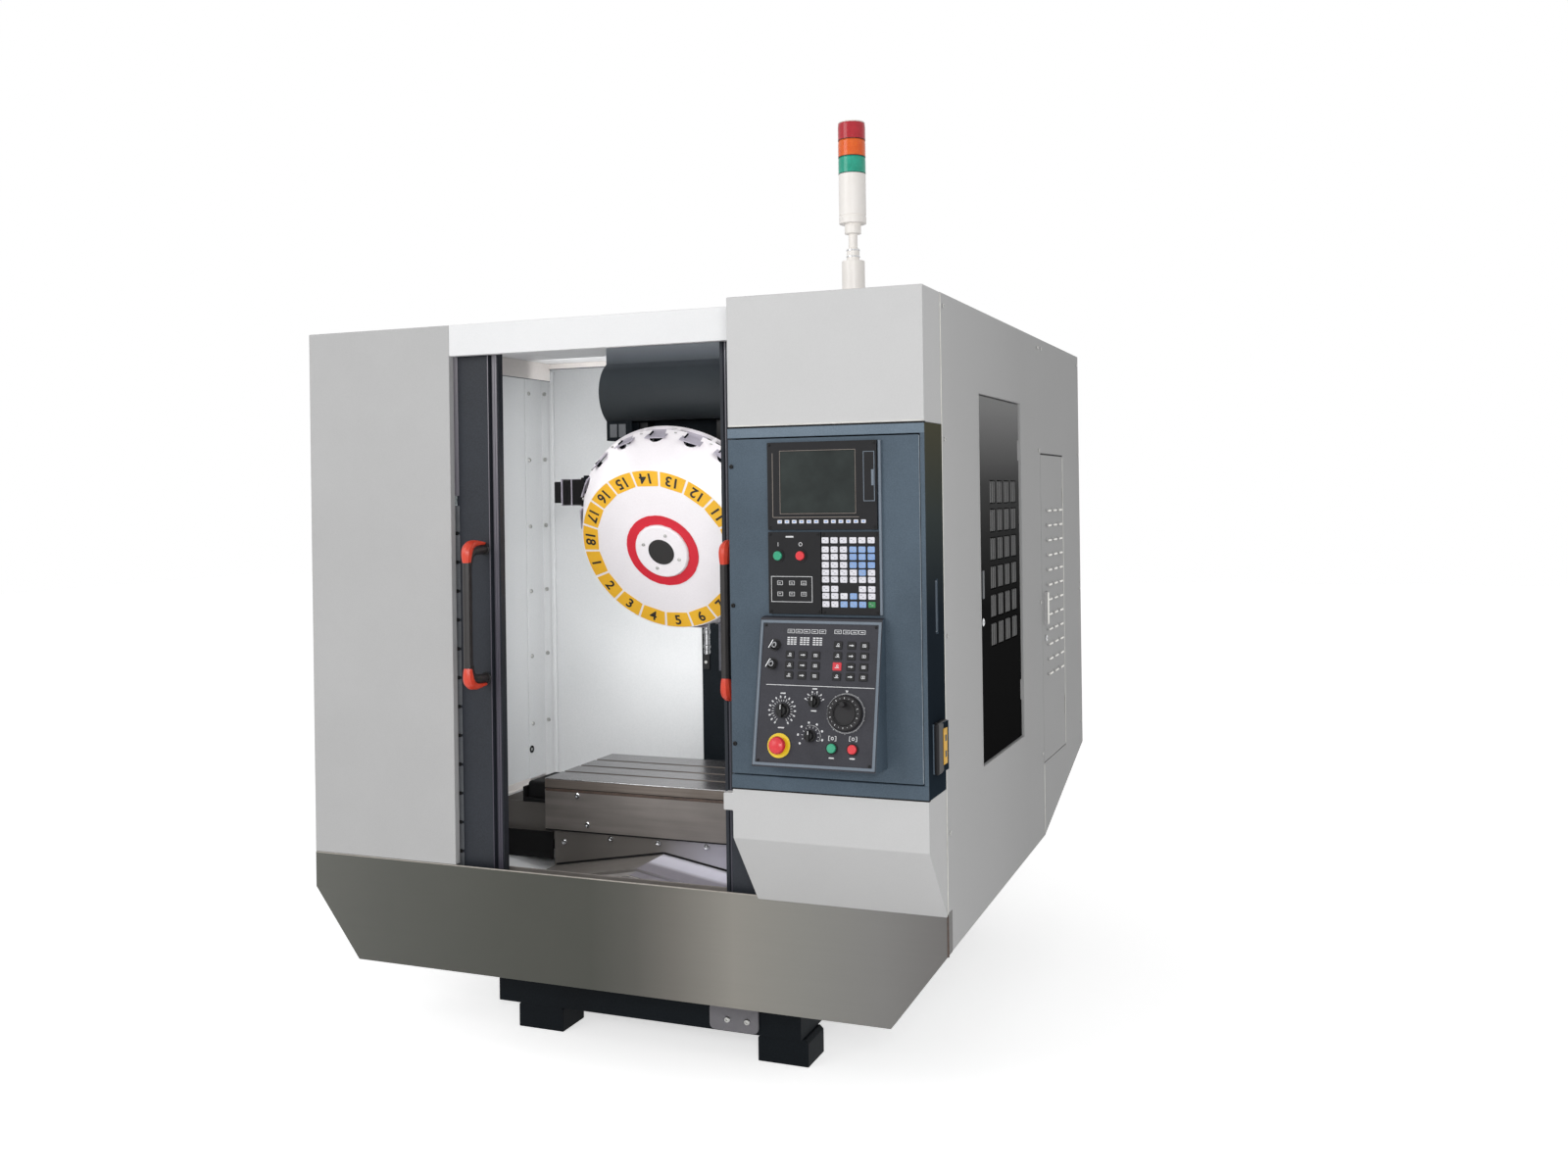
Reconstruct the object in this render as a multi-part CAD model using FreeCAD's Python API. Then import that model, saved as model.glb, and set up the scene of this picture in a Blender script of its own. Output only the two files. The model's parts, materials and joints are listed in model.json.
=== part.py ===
"""Compact drilling and tapping centre with an 18-pocket cone turret.

Millimetres, +Z up, +X to the operator's right, the operator stands at -Y.
The origin is on the floor, under the middle of the machine's outline.
"""
import FreeCAD, Part
import math
import os

Vec = FreeCAD.Vector
Rot = FreeCAD.Rotation
Place = FreeCAD.Placement

# ---------------------------------------------------------------- driving sizes
# overall enclosure
WIDTH = 1900.0
APRON_FRONT = -785.0
REAR = 1065.0
ROOF_TOP = 2016.0
PANEL = 30.0
FRONT_PANEL = 22.0
ROOF_THICKNESS = 24.0
SHEET = 4.0

# door opening and doors
OPENING_LEFT = -465.0
OPENING_RIGHT = 448.0
OPENING_TOP = 1929.0
APRON_TOP = 510.0
DOOR_THICKNESS = 40.0
DOOR_WIDTH = 470.0
DOOR_TOP = 1950.0
DOOR_LEFT_EDGE = -334.0
DOOR_RIGHT_EDGE = 343.0
HANDLE_LOW = 1008.0
HANDLE_HIGH = 1414.0
HANDLE_STANDOFF = 75.0
HANDLE_BAR_RADIUS = 13.0
HANDLE_INSET = 48.0

# apron outline
APRON_SIDE_BOTTOM = 408.0
APRON_BOTTOM = 211.0
APRON_CORNER = 150.0
APRON_DEPTH = 40.0
LEDGE_TOP = 480.0

# base, column and machine axis
CENTRE_X = -2.0
BASE_LEFT = -450.0
BASE_RIGHT = 490.0
BASE_FRONT = -600.0
BASE_REAR = 840.0
BED_TOP = 400.0
BED_HALF_WIDTH = 354.0
FOOT_HEIGHT = 74.0
FOOT_WIDTH = 146.0
FOOT_DEPTH = 120.0
FOOT_CENTRES_X = (-320.0, 432.0)
COLUMN_HALF_WIDTH = 231.0
COLUMN_FRONT = 354.0
COLUMN_BOTTOM = 520.0
COLUMN_TOP = 1780.0

# guides and ball screws
RAIL_WIDTH = 30.0
RAIL_HEIGHT = 28.0
RUN_GAP = 0.3
Y_RAIL_OFFSET = 180.0
Z_RAIL_OFFSET = 140.0
X_RAIL_OFFSET = 110.0
X_RAIL_WIDTH = 22.0
X_RAIL_HEIGHT = 22.0
SADDLE_BOTTOM = 448.0
SADDLE_TOP = 530.0
SADDLE_HALF_LENGTH = 576.0
Y_SCREW_RADIUS = 14.0
X_SCREW_RADIUS = 12.0
Z_SCREW_RADIUS = 16.0

# table
TABLE_LENGTH = 700.0
TABLE_DEPTH = 420.0
TABLE_TOP = 689.0
TABLE_THICKNESS = 60.0
TABLE_CENTRE_X = -46.0
TABLE_CENTRE_Y = -214.0
TABLE_BAND = 28.0
SLOT_PITCH = 100.0
SLOT_FROM_FRONT = 110.0
SLOT_WIDTH = 14.0
SLOT_NECK_DEPTH = 14.0
SLOT_HEAD_WIDTH = 24.0
SLOT_HEAD_DEPTH = 11.0
SKIRT_TOP = 656.0
SKIRT_BOTTOM = 534.0

# telescopic gabled way cover
RIDGE_TOP = 490.0
GABLE_SLOPE = 0.171
COVER_SHEET = 2.0
COVER_STEP = 8.0
COVER_HALF_WIDTH = 366.0
COVER_SIDE_STEP = 4.0
COVER_LENGTH = 175.0
SADDLE_COVER_FRONT = -588.0
SADDLE_PLATE_Y = -418.0
FRONT_COVER_START = -740.0
FRONT_COVER_END = -578.0
COVER_MIDDLE_FRONT = -639.0
COVER_INNER_FRONT = -690.0

# head and spindle
SPINDLE_Y = -155.0
NOSE_Z = 1165.0
HEAD_HALF_WIDTH = 110.0
HEAD_TOP = 1760.0
CARTRIDGE_RADIUS = 60.0
SHAFT_RADIUS = 35.0
TAPER_RADIUS = 15.875
TAPER_DEPTH = 48.4
TAPER_RATE = 7.0 / 24.0
HEAD_COVER_HALF_WIDTH = 236.0
HEAD_COVER_FRONT = -296.0
HEAD_COVER_NOSE = 50.0
HEAD_COVER_TOP = 1985.0

# tool turret
POCKETS = 18
TURRET_TILT = 25.0
TURRET_FACE_RADIUS = 259.0
TURRET_RIM_RADIUS = 325.0
TURRET_DEPTH = 140.0
TURRET_WALL = 8.0
NOTCH_WIDTH = 48.0
NOTCH_DEPTH = 44.0
RIM_BELOW_NOSE = 28.0
RIM_BEHIND_SPINDLE = 20.0
PLATE_BAND = 46.0
PLATE_HALF_ANGLE = 9.15
GRIPPER_BELOW_NOSE = 6.0
TURRET_SHAFT_RADIUS = 40.0
TURRET_BOSS_LENGTH = 52.0
ARM_INSIDE = 125.0
ARM_THICKNESS = 20.0
ARM_PIVOT_Y = -180.0
ARM_PIVOT_Z = 1600.0
ARM_PIN_RADIUS = 20.0
FIT_GAP = 0.05
TURRET_MOTOR_X = -372.0
TURRET_MOTOR_Y = -156.0
TURRET_MOTOR_Z = 1548.0

# console
CONSOLE_LEFT = 450.0
CONSOLE_FRONT = -935.0
CONSOLE_BOTTOM = 812.0
CONSOLE_TOP = 1695.0
LOWER_BOX_VERTICAL = 690.0
LOWER_BOX_BOTTOM = 499.0
CONSOLE_DOOR_LEFT = 451.0
CONSOLE_DOOR_RIGHT = 936.0
CONSOLE_DOOR_BOTTOM = 850.0
CONSOLE_DOOR_TOP = 1666.0
CONSOLE_DOOR_THICKNESS = 20.0
CONSOLE_HINGE_DEPTH = 14.0
CONSOLE_WALL = 12.0
DOOR_GAP = 3.0
HINGE_INSET = 6.0
HINGE_PIN_RADIUS = 2.5
KNUCKLE_RADIUS = 5.0
KNUCKLE_LENGTH = 60.0
KNUCKLE_FROM_END = 110.0
UNIT_PROUD = 8.0
UNIT_BODY_DEPTH = 60.0
DISPLAY = (557.0, 835.0, 1445.0, 1656.0)
SCREEN = (591.0, 781.0, 1485.0, 1634.0)
KEYBOARD = (694.0, 839.0, 1243.0, 1440.0)
POWER_PANEL = (557.0, 692.0, 1243.0, 1440.0)
POWER_ON_X = 583.0
POWER_OFF_X = 641.0
POWER_BUTTON_Z = 1383.0

# tilted operator box: top and bottom stand-off from the console door
OPERATOR_LEFT = 541.0
OPERATOR_RIGHT = 849.0
OPERATOR_BOTTOM = 888.0
OPERATOR_TOP = 1234.0
OPERATOR_PROUD_BOTTOM = 90.0
OPERATOR_PROUD_TOP = 20.0
BUTTON_RADIUS = 11.0
BUTTON_PROUD = 8.0
BUTTON_DEPTH = 10.0
BUTTON_TRAVEL = 4.0
STOP_TRAVEL = 6.0
SHAFT_HOLE_RADIUS = 5.3
KNOB_SHAFT_RADIUS = 5.0
KNOB_SHAFT_LENGTH = 14.0
# places on the tilted face: across from its middle, up from its lower edge
FEED_KNOB_AT = (-83.0, 133.0)
RAPID_KNOB_AT = (-5.0, 157.0)
MODE_KNOB_AT = (-10.0, 77.0)
HANDWHEEL_AT = (75.0, 133.0)
STOP_AT = (-87.0, 51.0)
CYCLE_START_AT = (45.0, 51.0)
FEED_HOLD_AT = (96.0, 51.0)
KEY_A_AT = (-113.0, 288.0)
KEY_B_AT = (-118.0, 243.0)

# side doors, as (front, rear, bottom, top) of their panel windows
SIDE_DOOR = (-415.0, 90.0, 799.0, 1793.0)
CABINET_DOOR = (380.0, 745.0, 665.0, 1650.0)
SIDE_DOOR_RECESS = 6.0
SIDE_DOOR_SHEET = 18.0
SIDE_SEAM = 380.0
SIDE_EDGE_AT_SEAM = 437.0
SIDE_EDGE_AT_REAR = 623.0

# chamber lining
WALL_X = 870.0
WALL_SHEET = 12.0
WALL_REAR = 358.0
CHAMBER_FRONT = -700.0
PAN_OUTER_TOP = 505.0
PAN_INNER_TOP = 398.0
PAN_SHEET = 5.0

# signal tower
TOWER_X = 751.0
TOWER_Y = -845.0
TOWER_TOP = 2432.0
TOWER_RADIUS = 33.0
LENS_HEIGHT = 41.0

# ---------------------------------------------------------------- worked out from them
HALF_WIDTH = WIDTH / 2
Y_SCREW_Z = BED_TOP + 24.0
X_SCREW_Z = SADDLE_TOP + 23.0
Z_SCREW_Y = COLUMN_FRONT - 29.0
CARRIAGE_TOP = SADDLE_TOP + 47.0
ROOF_UNDER = ROOF_TOP - ROOF_THICKNESS
DOOR_FRONT = APRON_FRONT + FRONT_PANEL + 6.0
DOOR_BACK = DOOR_FRONT + DOOR_THICKNESS
TILT = math.radians(TURRET_TILT)
RIM_CENTRE_Y = SPINDLE_Y + RIM_BEHIND_SPINDLE - TURRET_RIM_RADIUS * math.sin(TILT)
RIM_CENTRE_Z = NOSE_Z - RIM_BELOW_NOSE + TURRET_RIM_RADIUS * math.cos(TILT)
FACE_CENTRE_Y = RIM_CENTRE_Y - TURRET_DEPTH * math.cos(TILT)
FACE_CENTRE_Z = RIM_CENTRE_Z - TURRET_DEPTH * math.sin(TILT)
TABLE_FRONT = TABLE_CENTRE_Y - TABLE_DEPTH / 2
TABLE_UNDER = TABLE_TOP - TABLE_THICKNESS
SADDLE_HALF_DEPTH = 190.0
SADDLE_FRONT = TABLE_CENTRE_Y - SADDLE_HALF_DEPTH
OPERATOR_LEAN = math.degrees(math.atan2(OPERATOR_PROUD_BOTTOM - OPERATOR_PROUD_TOP,
                                        OPERATOR_TOP - OPERATOR_BOTTOM))
OPERATOR_MIDDLE = (OPERATOR_LEFT + OPERATOR_RIGHT) / 2
OPERATOR_ORIGIN = Vec(OPERATOR_MIDDLE, CONSOLE_FRONT - OPERATOR_PROUD_BOTTOM, OPERATOR_BOTTOM)


# ---------------------------------------------------------------- basic shapes
def box(x0, x1, y0, y1, z0, z1):
    """Block between two corners."""
    return Part.makeBox(x1 - x0, y1 - y0, z1 - z0, Vec(x0, y0, z0))


def prism(points, push):
    """Closed outline pushed along a vector."""
    wire = Part.makePolygon(points + [points[0]])
    return Part.Face(wire).extrude(push)


def prism_x(outline, x0, x1):
    """Outline of (y, z) points, from x0 to x1."""
    return prism([Vec(x0, y, z) for y, z in outline], Vec(x1 - x0, 0, 0))


def prism_y(outline, y0, y1):
    """Outline of (x, z) points, from y0 to y1."""
    return prism([Vec(x, y0, z) for x, z in outline], Vec(0, y1 - y0, 0))


def prism_z(outline, z0, z1):
    """Outline of (x, y) points, from z0 to z1."""
    return prism([Vec(x, y, z0) for x, y in outline], Vec(0, 0, z1 - z0))


def rod(radius, start, end):
    """Round bar between two points."""
    along = end - start
    return Part.makeCylinder(radius, along.Length, start, along)


def turned(profile, centre=Vec(0, 0, 0)):
    """Solid turned about a vertical axis from (radius, z) points."""
    wire = Part.makePolygon([Vec(r, 0, z) for r, z in profile + [profile[0]]])
    solid = Part.Face(wire).revolve(Vec(0, 0, 0), Vec(0, 0, 1), 360)
    return solid.translated(centre)


def fused(shapes):
    """One solid from touching or crossing shapes, with merged faces."""
    body = shapes[0]
    if len(shapes) > 1:
        body = shapes[0].fuse(shapes[1:])
    return body.removeSplitter()


def facing_front(shape, origin, lean=0.0):
    """Stand a shape that lies on XY with +Z outward against a front face.

    The shape's +Y then runs up the face and its +Z points at the operator.
    """
    return placed(shape, origin, Rot(Vec(1, 0, 0), 90.0 - lean))


def placed(shape, origin, rotation):
    """Copy of a shape, turned and then moved."""
    copy = shape.copy()
    copy.Placement = Place(origin, rotation).multiply(shape.Placement)
    return copy


# ---------------------------------------------------------------- hinges
def knuckle_heights(bottom, top):
    """Lower ends of the two knuckles of a door between two heights."""
    return (bottom + KNUCKLE_FROM_END, top - KNUCKLE_FROM_END - KNUCKLE_LENGTH)


def knuckles(x, y, bottom, top, towards, reach=HINGE_INSET + DOOR_GAP + 1):
    """Fixed barrels on a hinge axis, each on a leaf that reaches the frame beside the door."""
    half = HINGE_PIN_RADIUS
    barrels = []
    for z in knuckle_heights(bottom, top):
        far = Vec(x, y, z) + towards * reach
        across = Vec(towards.y, towards.x, 0) * half
        x0, x1 = sorted((x - across.x, x + across.x, far.x))[::2]
        y0, y1 = sorted((y - across.y, y + across.y, far.y))[::2]
        leaf = box(x0, x1, y0, y1, z, z + KNUCKLE_LENGTH)
        barrel = rod(KNUCKLE_RADIUS, Vec(x, y, z), Vec(x, y, z + KNUCKLE_LENGTH))
        bore = rod(HINGE_PIN_RADIUS + FIT_GAP, Vec(x, y, z - 1), Vec(x, y, z + KNUCKLE_LENGTH + 1))
        barrels.append(barrel.fuse(leaf).cut(bore))
    return barrels


def hinged(door, x, y, bottom, top, room):
    """Door with its two hinge pins and the room cut for the fixed knuckles.

    room is (x0, x1, y0, y1) of the cut in plan.
    """
    cuts = []
    pins = []
    for z in knuckle_heights(bottom, top):
        cuts.append(box(*room, z - RUN_GAP, z + KNUCKLE_LENGTH + RUN_GAP))
        pins.append(rod(HINGE_PIN_RADIUS, Vec(x, y, z - 8), Vec(x, y, z + KNUCKLE_LENGTH + 8)))
    return fused([door.cut(cuts)] + pins)


# ---------------------------------------------------------------- base, feet, column
def base_casting():
    """Bed with sloping shoulders, a nose for the way cover and the column's plinth."""
    left = CENTRE_X - BED_HALF_WIDTH
    right = CENTRE_X + BED_HALF_WIDTH
    body = prism_y([(BASE_LEFT, FOOT_HEIGHT), (BASE_RIGHT, FOOT_HEIGHT), (BASE_RIGHT, 250.0),
                    (right, 330.0), (right, BED_TOP), (left, BED_TOP), (left, 330.0),
                    (BASE_LEFT, 250.0)], BASE_FRONT, BASE_REAR)
    nose = prism_x([(FRONT_COVER_START, BED_TOP), (FRONT_COVER_START, 330.0), (BASE_FRONT, 240.0),
                    (BASE_FRONT, BED_TOP)], left, right)
    plinth = box(left, right, COLUMN_FRONT - 14, BASE_REAR, BED_TOP, COLUMN_BOTTOM)
    motor_bay = box(CENTRE_X - 62, CENTRE_X + 62, COLUMN_FRONT - 24, COLUMN_FRONT + 170, 362.0, 486.0)
    front_bearing = screw_bearing(FRONT_COVER_START + 40, 40.0)
    rear_bearing = screw_bearing(COLUMN_FRONT - 64, 40.0)
    casting = fused([body, nose, plinth, front_bearing, rear_bearing]).cut(motor_bay)
    return casting.removeSplitter()


def screw_bearing(y0, length):
    """Bearing block of the Y screw on the bed."""
    block = box(CENTRE_X - 35, CENTRE_X + 35, y0, y0 + length, BED_TOP, Y_SCREW_Z + 22)
    bore = rod(Y_SCREW_RADIUS + FIT_GAP, Vec(CENTRE_X, y0 - 1, Y_SCREW_Z),
               Vec(CENTRE_X, y0 + length + 1, Y_SCREW_Z))
    return block.cut(bore)


def levelling_feet():
    """Six square feet: a chamfered pad with a neck up to the base."""
    feet = []
    for x in FOOT_CENTRES_X:
        for y in (BASE_FRONT + 15, 20.0, BASE_REAR - FOOT_DEPTH - 20):
            half = FOOT_WIDTH / 2
            chamfer = 10.0
            outline = [(x - half, 0.0), (x + half, 0.0), (x + half, FOOT_HEIGHT - chamfer),
                       (x + half - chamfer, FOOT_HEIGHT), (x - half + chamfer, FOOT_HEIGHT),
                       (x - half, FOOT_HEIGHT - chamfer)]
            feet.append(prism_y(outline, y, y + FOOT_DEPTH))
    return feet


def column_casting():
    """Tapered column with the lower bearing and the motor bracket of the Z screw."""
    body = prism_x([(COLUMN_FRONT, COLUMN_BOTTOM), (BASE_REAR - 20, COLUMN_BOTTOM),
                    (BASE_REAR - 20, 700.0), (640.0, COLUMN_TOP), (COLUMN_FRONT, COLUMN_TOP)],
                   CENTRE_X - COLUMN_HALF_WIDTH, CENTRE_X + COLUMN_HALF_WIDTH)
    bearing = box(CENTRE_X - 45, CENTRE_X + 45, Z_SCREW_Y - 30, COLUMN_FRONT, 930.0, 970.0)
    bracket = box(CENTRE_X - 75, CENTRE_X + 75, Z_SCREW_Y - 70, COLUMN_FRONT + 100,
                  COLUMN_TOP, COLUMN_TOP + 15)
    bore = rod(Z_SCREW_RADIUS + FIT_GAP, Vec(CENTRE_X, Z_SCREW_Y, 925), Vec(CENTRE_X, Z_SCREW_Y, COLUMN_TOP + 20))
    return fused([body, bearing, bracket]).cut(bore)


def guide_rails():
    """Two rails on the bed and two on the column."""
    rails = []
    for side in (-1, 1):
        x = CENTRE_X + side * Y_RAIL_OFFSET
        rails.append(box(x - RAIL_WIDTH / 2, x + RAIL_WIDTH / 2, -700.0, 290.0,
                         BED_TOP, BED_TOP + RAIL_HEIGHT))
    for side in (-1, 1):
        x = CENTRE_X + side * Z_RAIL_OFFSET
        rails.append(box(x - RAIL_WIDTH / 2, x + RAIL_WIDTH / 2, COLUMN_FRONT - RAIL_HEIGHT,
                         COLUMN_FRONT, 930.0, COLUMN_TOP - 5))
    return rails


def servo_motor(length, half):
    """Square servo motor standing on +Z: flange, ribbed body and connector cap."""
    flange = box(-half, half, -half, half, 0, 14)
    body = box(-half + 6, half - 6, -half + 6, half - 6, 14, length * 0.7)
    cap = box(-half + 12, half - 12, -half + 12, half - 12, length * 0.7, length)
    return fused([flange, body, cap])


def axis_motors():
    """Y motor in the plinth's bay and Z motor on the column's bracket."""
    y_motor = placed(servo_motor(150.0, 54.0), Vec(CENTRE_X, COLUMN_FRONT - 24, Y_SCREW_Z), Rot(Vec(1, 0, 0), -90))
    z_motor = servo_motor(175.0, 65.0).translated(Vec(CENTRE_X, Z_SCREW_Y, COLUMN_TOP + 15))
    return [y_motor, z_motor]


def y_ball_screw():
    """Y screw from the front bearing to its motor."""
    return rod(Y_SCREW_RADIUS, Vec(CENTRE_X, FRONT_COVER_START + 38, Y_SCREW_Z),
               Vec(CENTRE_X, COLUMN_FRONT - 24.3, Y_SCREW_Z))


def z_ball_screw():
    """Z screw from the lower bearing to its motor."""
    return rod(Z_SCREW_RADIUS, Vec(CENTRE_X, Z_SCREW_Y, 928.0),
               Vec(CENTRE_X, Z_SCREW_Y, COLUMN_TOP + 14.7))


# ---------------------------------------------------------------- enclosure
def front_apron():
    """Folded front tray with cut lower corners and the ledge that the doors run on."""
    def outline(inset):
        edge = HALF_WIDTH - inset
        corner = HALF_WIDTH - APRON_CORNER - inset * 0.5
        return [(-edge, APRON_TOP), (edge, APRON_TOP), (edge, APRON_SIDE_BOTTOM + inset * 0.3),
                (corner, APRON_BOTTOM + inset), (-corner, APRON_BOTTOM + inset),
                (-edge, APRON_SIDE_BOTTOM + inset * 0.3)]
    tray = prism_y(outline(0), APRON_FRONT, APRON_FRONT + APRON_DEPTH)
    inside = prism_y(outline(SHEET), APRON_FRONT + SHEET, APRON_FRONT + APRON_DEPTH + 1)
    ledge = box(-HALF_WIDTH + PANEL + 2, HALF_WIDTH - PANEL - 2, APRON_FRONT + SHEET, CHAMBER_FRONT - 5,
                LEDGE_TOP - SHEET, LEDGE_TOP)
    return fused([tray.cut(inside), ledge])


def under_edge(side_sign, y0, y1):
    """Cutter below the rising lower edge of a side panel."""
    x0 = side_sign * HALF_WIDTH - PANEL - 1
    slope_rear = [(SIDE_SEAM, SIDE_EDGE_AT_SEAM), (REAR + 1, SIDE_EDGE_AT_REAR)]
    outline = [(y0 - 1, 0.0), (y0 - 1, APRON_SIDE_BOTTOM)] + slope_rear + [(REAR + 1, 0.0)]
    if y0 >= SIDE_SEAM:
        outline = [(y0 - 1, 0.0), (y0 - 1, SIDE_EDGE_AT_SEAM)] + slope_rear[1:] + [(y1 + 1, 0.0)]
    return prism_x(outline, x0, x0 + 2 * PANEL + 2)


def apron_corner(side_sign):
    """Cutter that leaves room for the apron's tray at a side panel's front."""
    x0 = side_sign * HALF_WIDTH - PANEL - 1
    return box(x0, x0 + 2 * PANEL + 2, APRON_FRONT - 1, APRON_FRONT + APRON_DEPTH, 0.0, APRON_TOP)


def left_panel():
    """Front and left side in one folded panel."""
    outline = [(-HALF_WIDTH, APRON_FRONT), (OPENING_LEFT, APRON_FRONT),
               (OPENING_LEFT, APRON_FRONT + FRONT_PANEL), (-HALF_WIDTH + PANEL, APRON_FRONT + FRONT_PANEL),
               (-HALF_WIDTH + PANEL, REAR), (-HALF_WIDTH, REAR)]
    panel = prism_z(outline, APRON_SIDE_BOTTOM - 1, ROOF_TOP)
    front_low = box(-HALF_WIDTH - 1, OPENING_LEFT + 1, APRON_FRONT - 1, APRON_FRONT + APRON_DEPTH,
                    0.0, APRON_TOP)
    return panel.cut([front_low, under_edge(-1, APRON_FRONT, REAR)])


def right_side_panel():
    """Right side in front of the seam, with the window of the dark side door."""
    front, rear, bottom, top = SIDE_DOOR
    x0 = HALF_WIDTH - PANEL
    panel = box(x0, HALF_WIDTH, APRON_FRONT, SIDE_SEAM, APRON_SIDE_BOTTOM - 1, ROOF_TOP)
    window = box(x0 - 1, HALF_WIDTH + 1, front, rear, bottom, top)
    panel = panel.cut([window, under_edge(1, APRON_FRONT, SIDE_SEAM), apron_corner(1)])
    barrels = knuckles(HALF_WIDTH - SIDE_DOOR_RECESS - HINGE_INSET, rear - DOOR_GAP - HINGE_INSET,
                       bottom, top, Vec(0, 1, 0))
    return fused([panel] + barrels)


def right_rear_panel():
    """Right side behind the seam, with the window of the louvred door."""
    front, rear, bottom, top = CABINET_DOOR
    x0 = HALF_WIDTH - PANEL
    panel = box(x0, HALF_WIDTH, SIDE_SEAM, REAR, SIDE_EDGE_AT_SEAM - 1, ROOF_TOP)
    window = box(x0 - 1, HALF_WIDTH + 1, front, rear, bottom, top)
    low_edge = under_edge(1, SIDE_SEAM, REAR)
    barrels = knuckles(HALF_WIDTH - HINGE_INSET, rear - DOOR_GAP - HINGE_INSET, bottom, top, Vec(0, 1, 0))
    return fused([panel.cut([window, low_edge])] + barrels)


def rear_panel():
    """Plain rear wall between the side panels."""
    return box(-HALF_WIDTH + PANEL, HALF_WIDTH - PANEL, REAR - PANEL, REAR, SIDE_EDGE_AT_REAR, ROOF_UNDER)


def roof_panel():
    """Roof folded down at the front into the header above the doors."""
    roof = box(-HALF_WIDTH + PANEL, HALF_WIDTH - PANEL, APRON_FRONT + FRONT_PANEL, REAR,
               ROOF_UNDER, ROOF_TOP)
    header = box(OPENING_LEFT, CONSOLE_LEFT, APRON_FRONT, APRON_FRONT + FRONT_PANEL,
                 OPENING_TOP, ROOF_TOP)
    rim = box(CONSOLE_LEFT, HALF_WIDTH - PANEL, APRON_FRONT, APRON_FRONT + FRONT_PANEL,
              ROOF_UNDER, ROOF_TOP)
    return fused([roof, header, rim])


def chamber_walls():
    """Side walls and the rear wall on both sides of the column."""
    column_left = CENTRE_X - COLUMN_HALF_WIDTH - 2
    column_right = CENTRE_X + COLUMN_HALF_WIDTH + 2
    plinth_left = CENTRE_X - BED_HALF_WIDTH - 2
    plinth_right = CENTRE_X + BED_HALF_WIDTH + 2
    left = box(-WALL_X - WALL_SHEET, -WALL_X, CHAMBER_FRONT, WALL_REAR, PAN_OUTER_TOP - 5, ROOF_UNDER)
    right = box(WALL_X, WALL_X + WALL_SHEET, CHAMBER_FRONT, WALL_REAR, PAN_OUTER_TOP - 5, ROOF_UNDER)
    rear_left = prism_y([(-WALL_X - WALL_SHEET, BED_TOP), (plinth_left, BED_TOP),
                         (plinth_left, COLUMN_BOTTOM + 1), (column_left, COLUMN_BOTTOM + 1),
                         (column_left, ROOF_UNDER), (-WALL_X - WALL_SHEET, ROOF_UNDER)],
                        WALL_REAR, WALL_REAR + WALL_SHEET)
    rear_right = prism_y([(WALL_X + WALL_SHEET, BED_TOP), (plinth_right, BED_TOP),
                          (plinth_right, COLUMN_BOTTOM + 1), (column_right, COLUMN_BOTTOM + 1),
                          (column_right, ROOF_UNDER), (WALL_X + WALL_SHEET, ROOF_UNDER)],
                         WALL_REAR, WALL_REAR + WALL_SHEET)
    return [left, right, rear_left, rear_right]


def chip_pan():
    """Two sloping wings that drain from the side walls to the bed."""
    wings = []
    for side in (-1, 1):
        bed_edge = CENTRE_X + side * BED_HALF_WIDTH
        wall = side * WALL_X
        outer = side * (WALL_X + WALL_SHEET)
        outline = [(outer, PAN_OUTER_TOP - 15), (outer, PAN_OUTER_TOP - 5), (wall, PAN_OUTER_TOP - 5),
                   (wall, PAN_OUTER_TOP), (bed_edge, PAN_INNER_TOP), (bed_edge, PAN_INNER_TOP - PAN_SHEET),
                   (wall, PAN_OUTER_TOP - 15)]
        wings.append(prism_y(outline, CHAMBER_FRONT, WALL_REAR))
    return wings


def door_tracks():
    """Top rail under the roof and a guide strip behind the doors on the ledge."""
    rail_y = DOOR_FRONT + 12
    top = box(-HALF_WIDTH + PANEL, HALF_WIDTH - PANEL, rail_y, rail_y + 15, DOOR_TOP + 12, ROOF_UNDER)
    low = box(-HALF_WIDTH + PANEL + 2, HALF_WIDTH - PANEL - 2, DOOR_BACK + RUN_GAP, DOOR_BACK + 6,
              LEDGE_TOP, LEDGE_TOP + 20)
    return [top, low]


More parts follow.
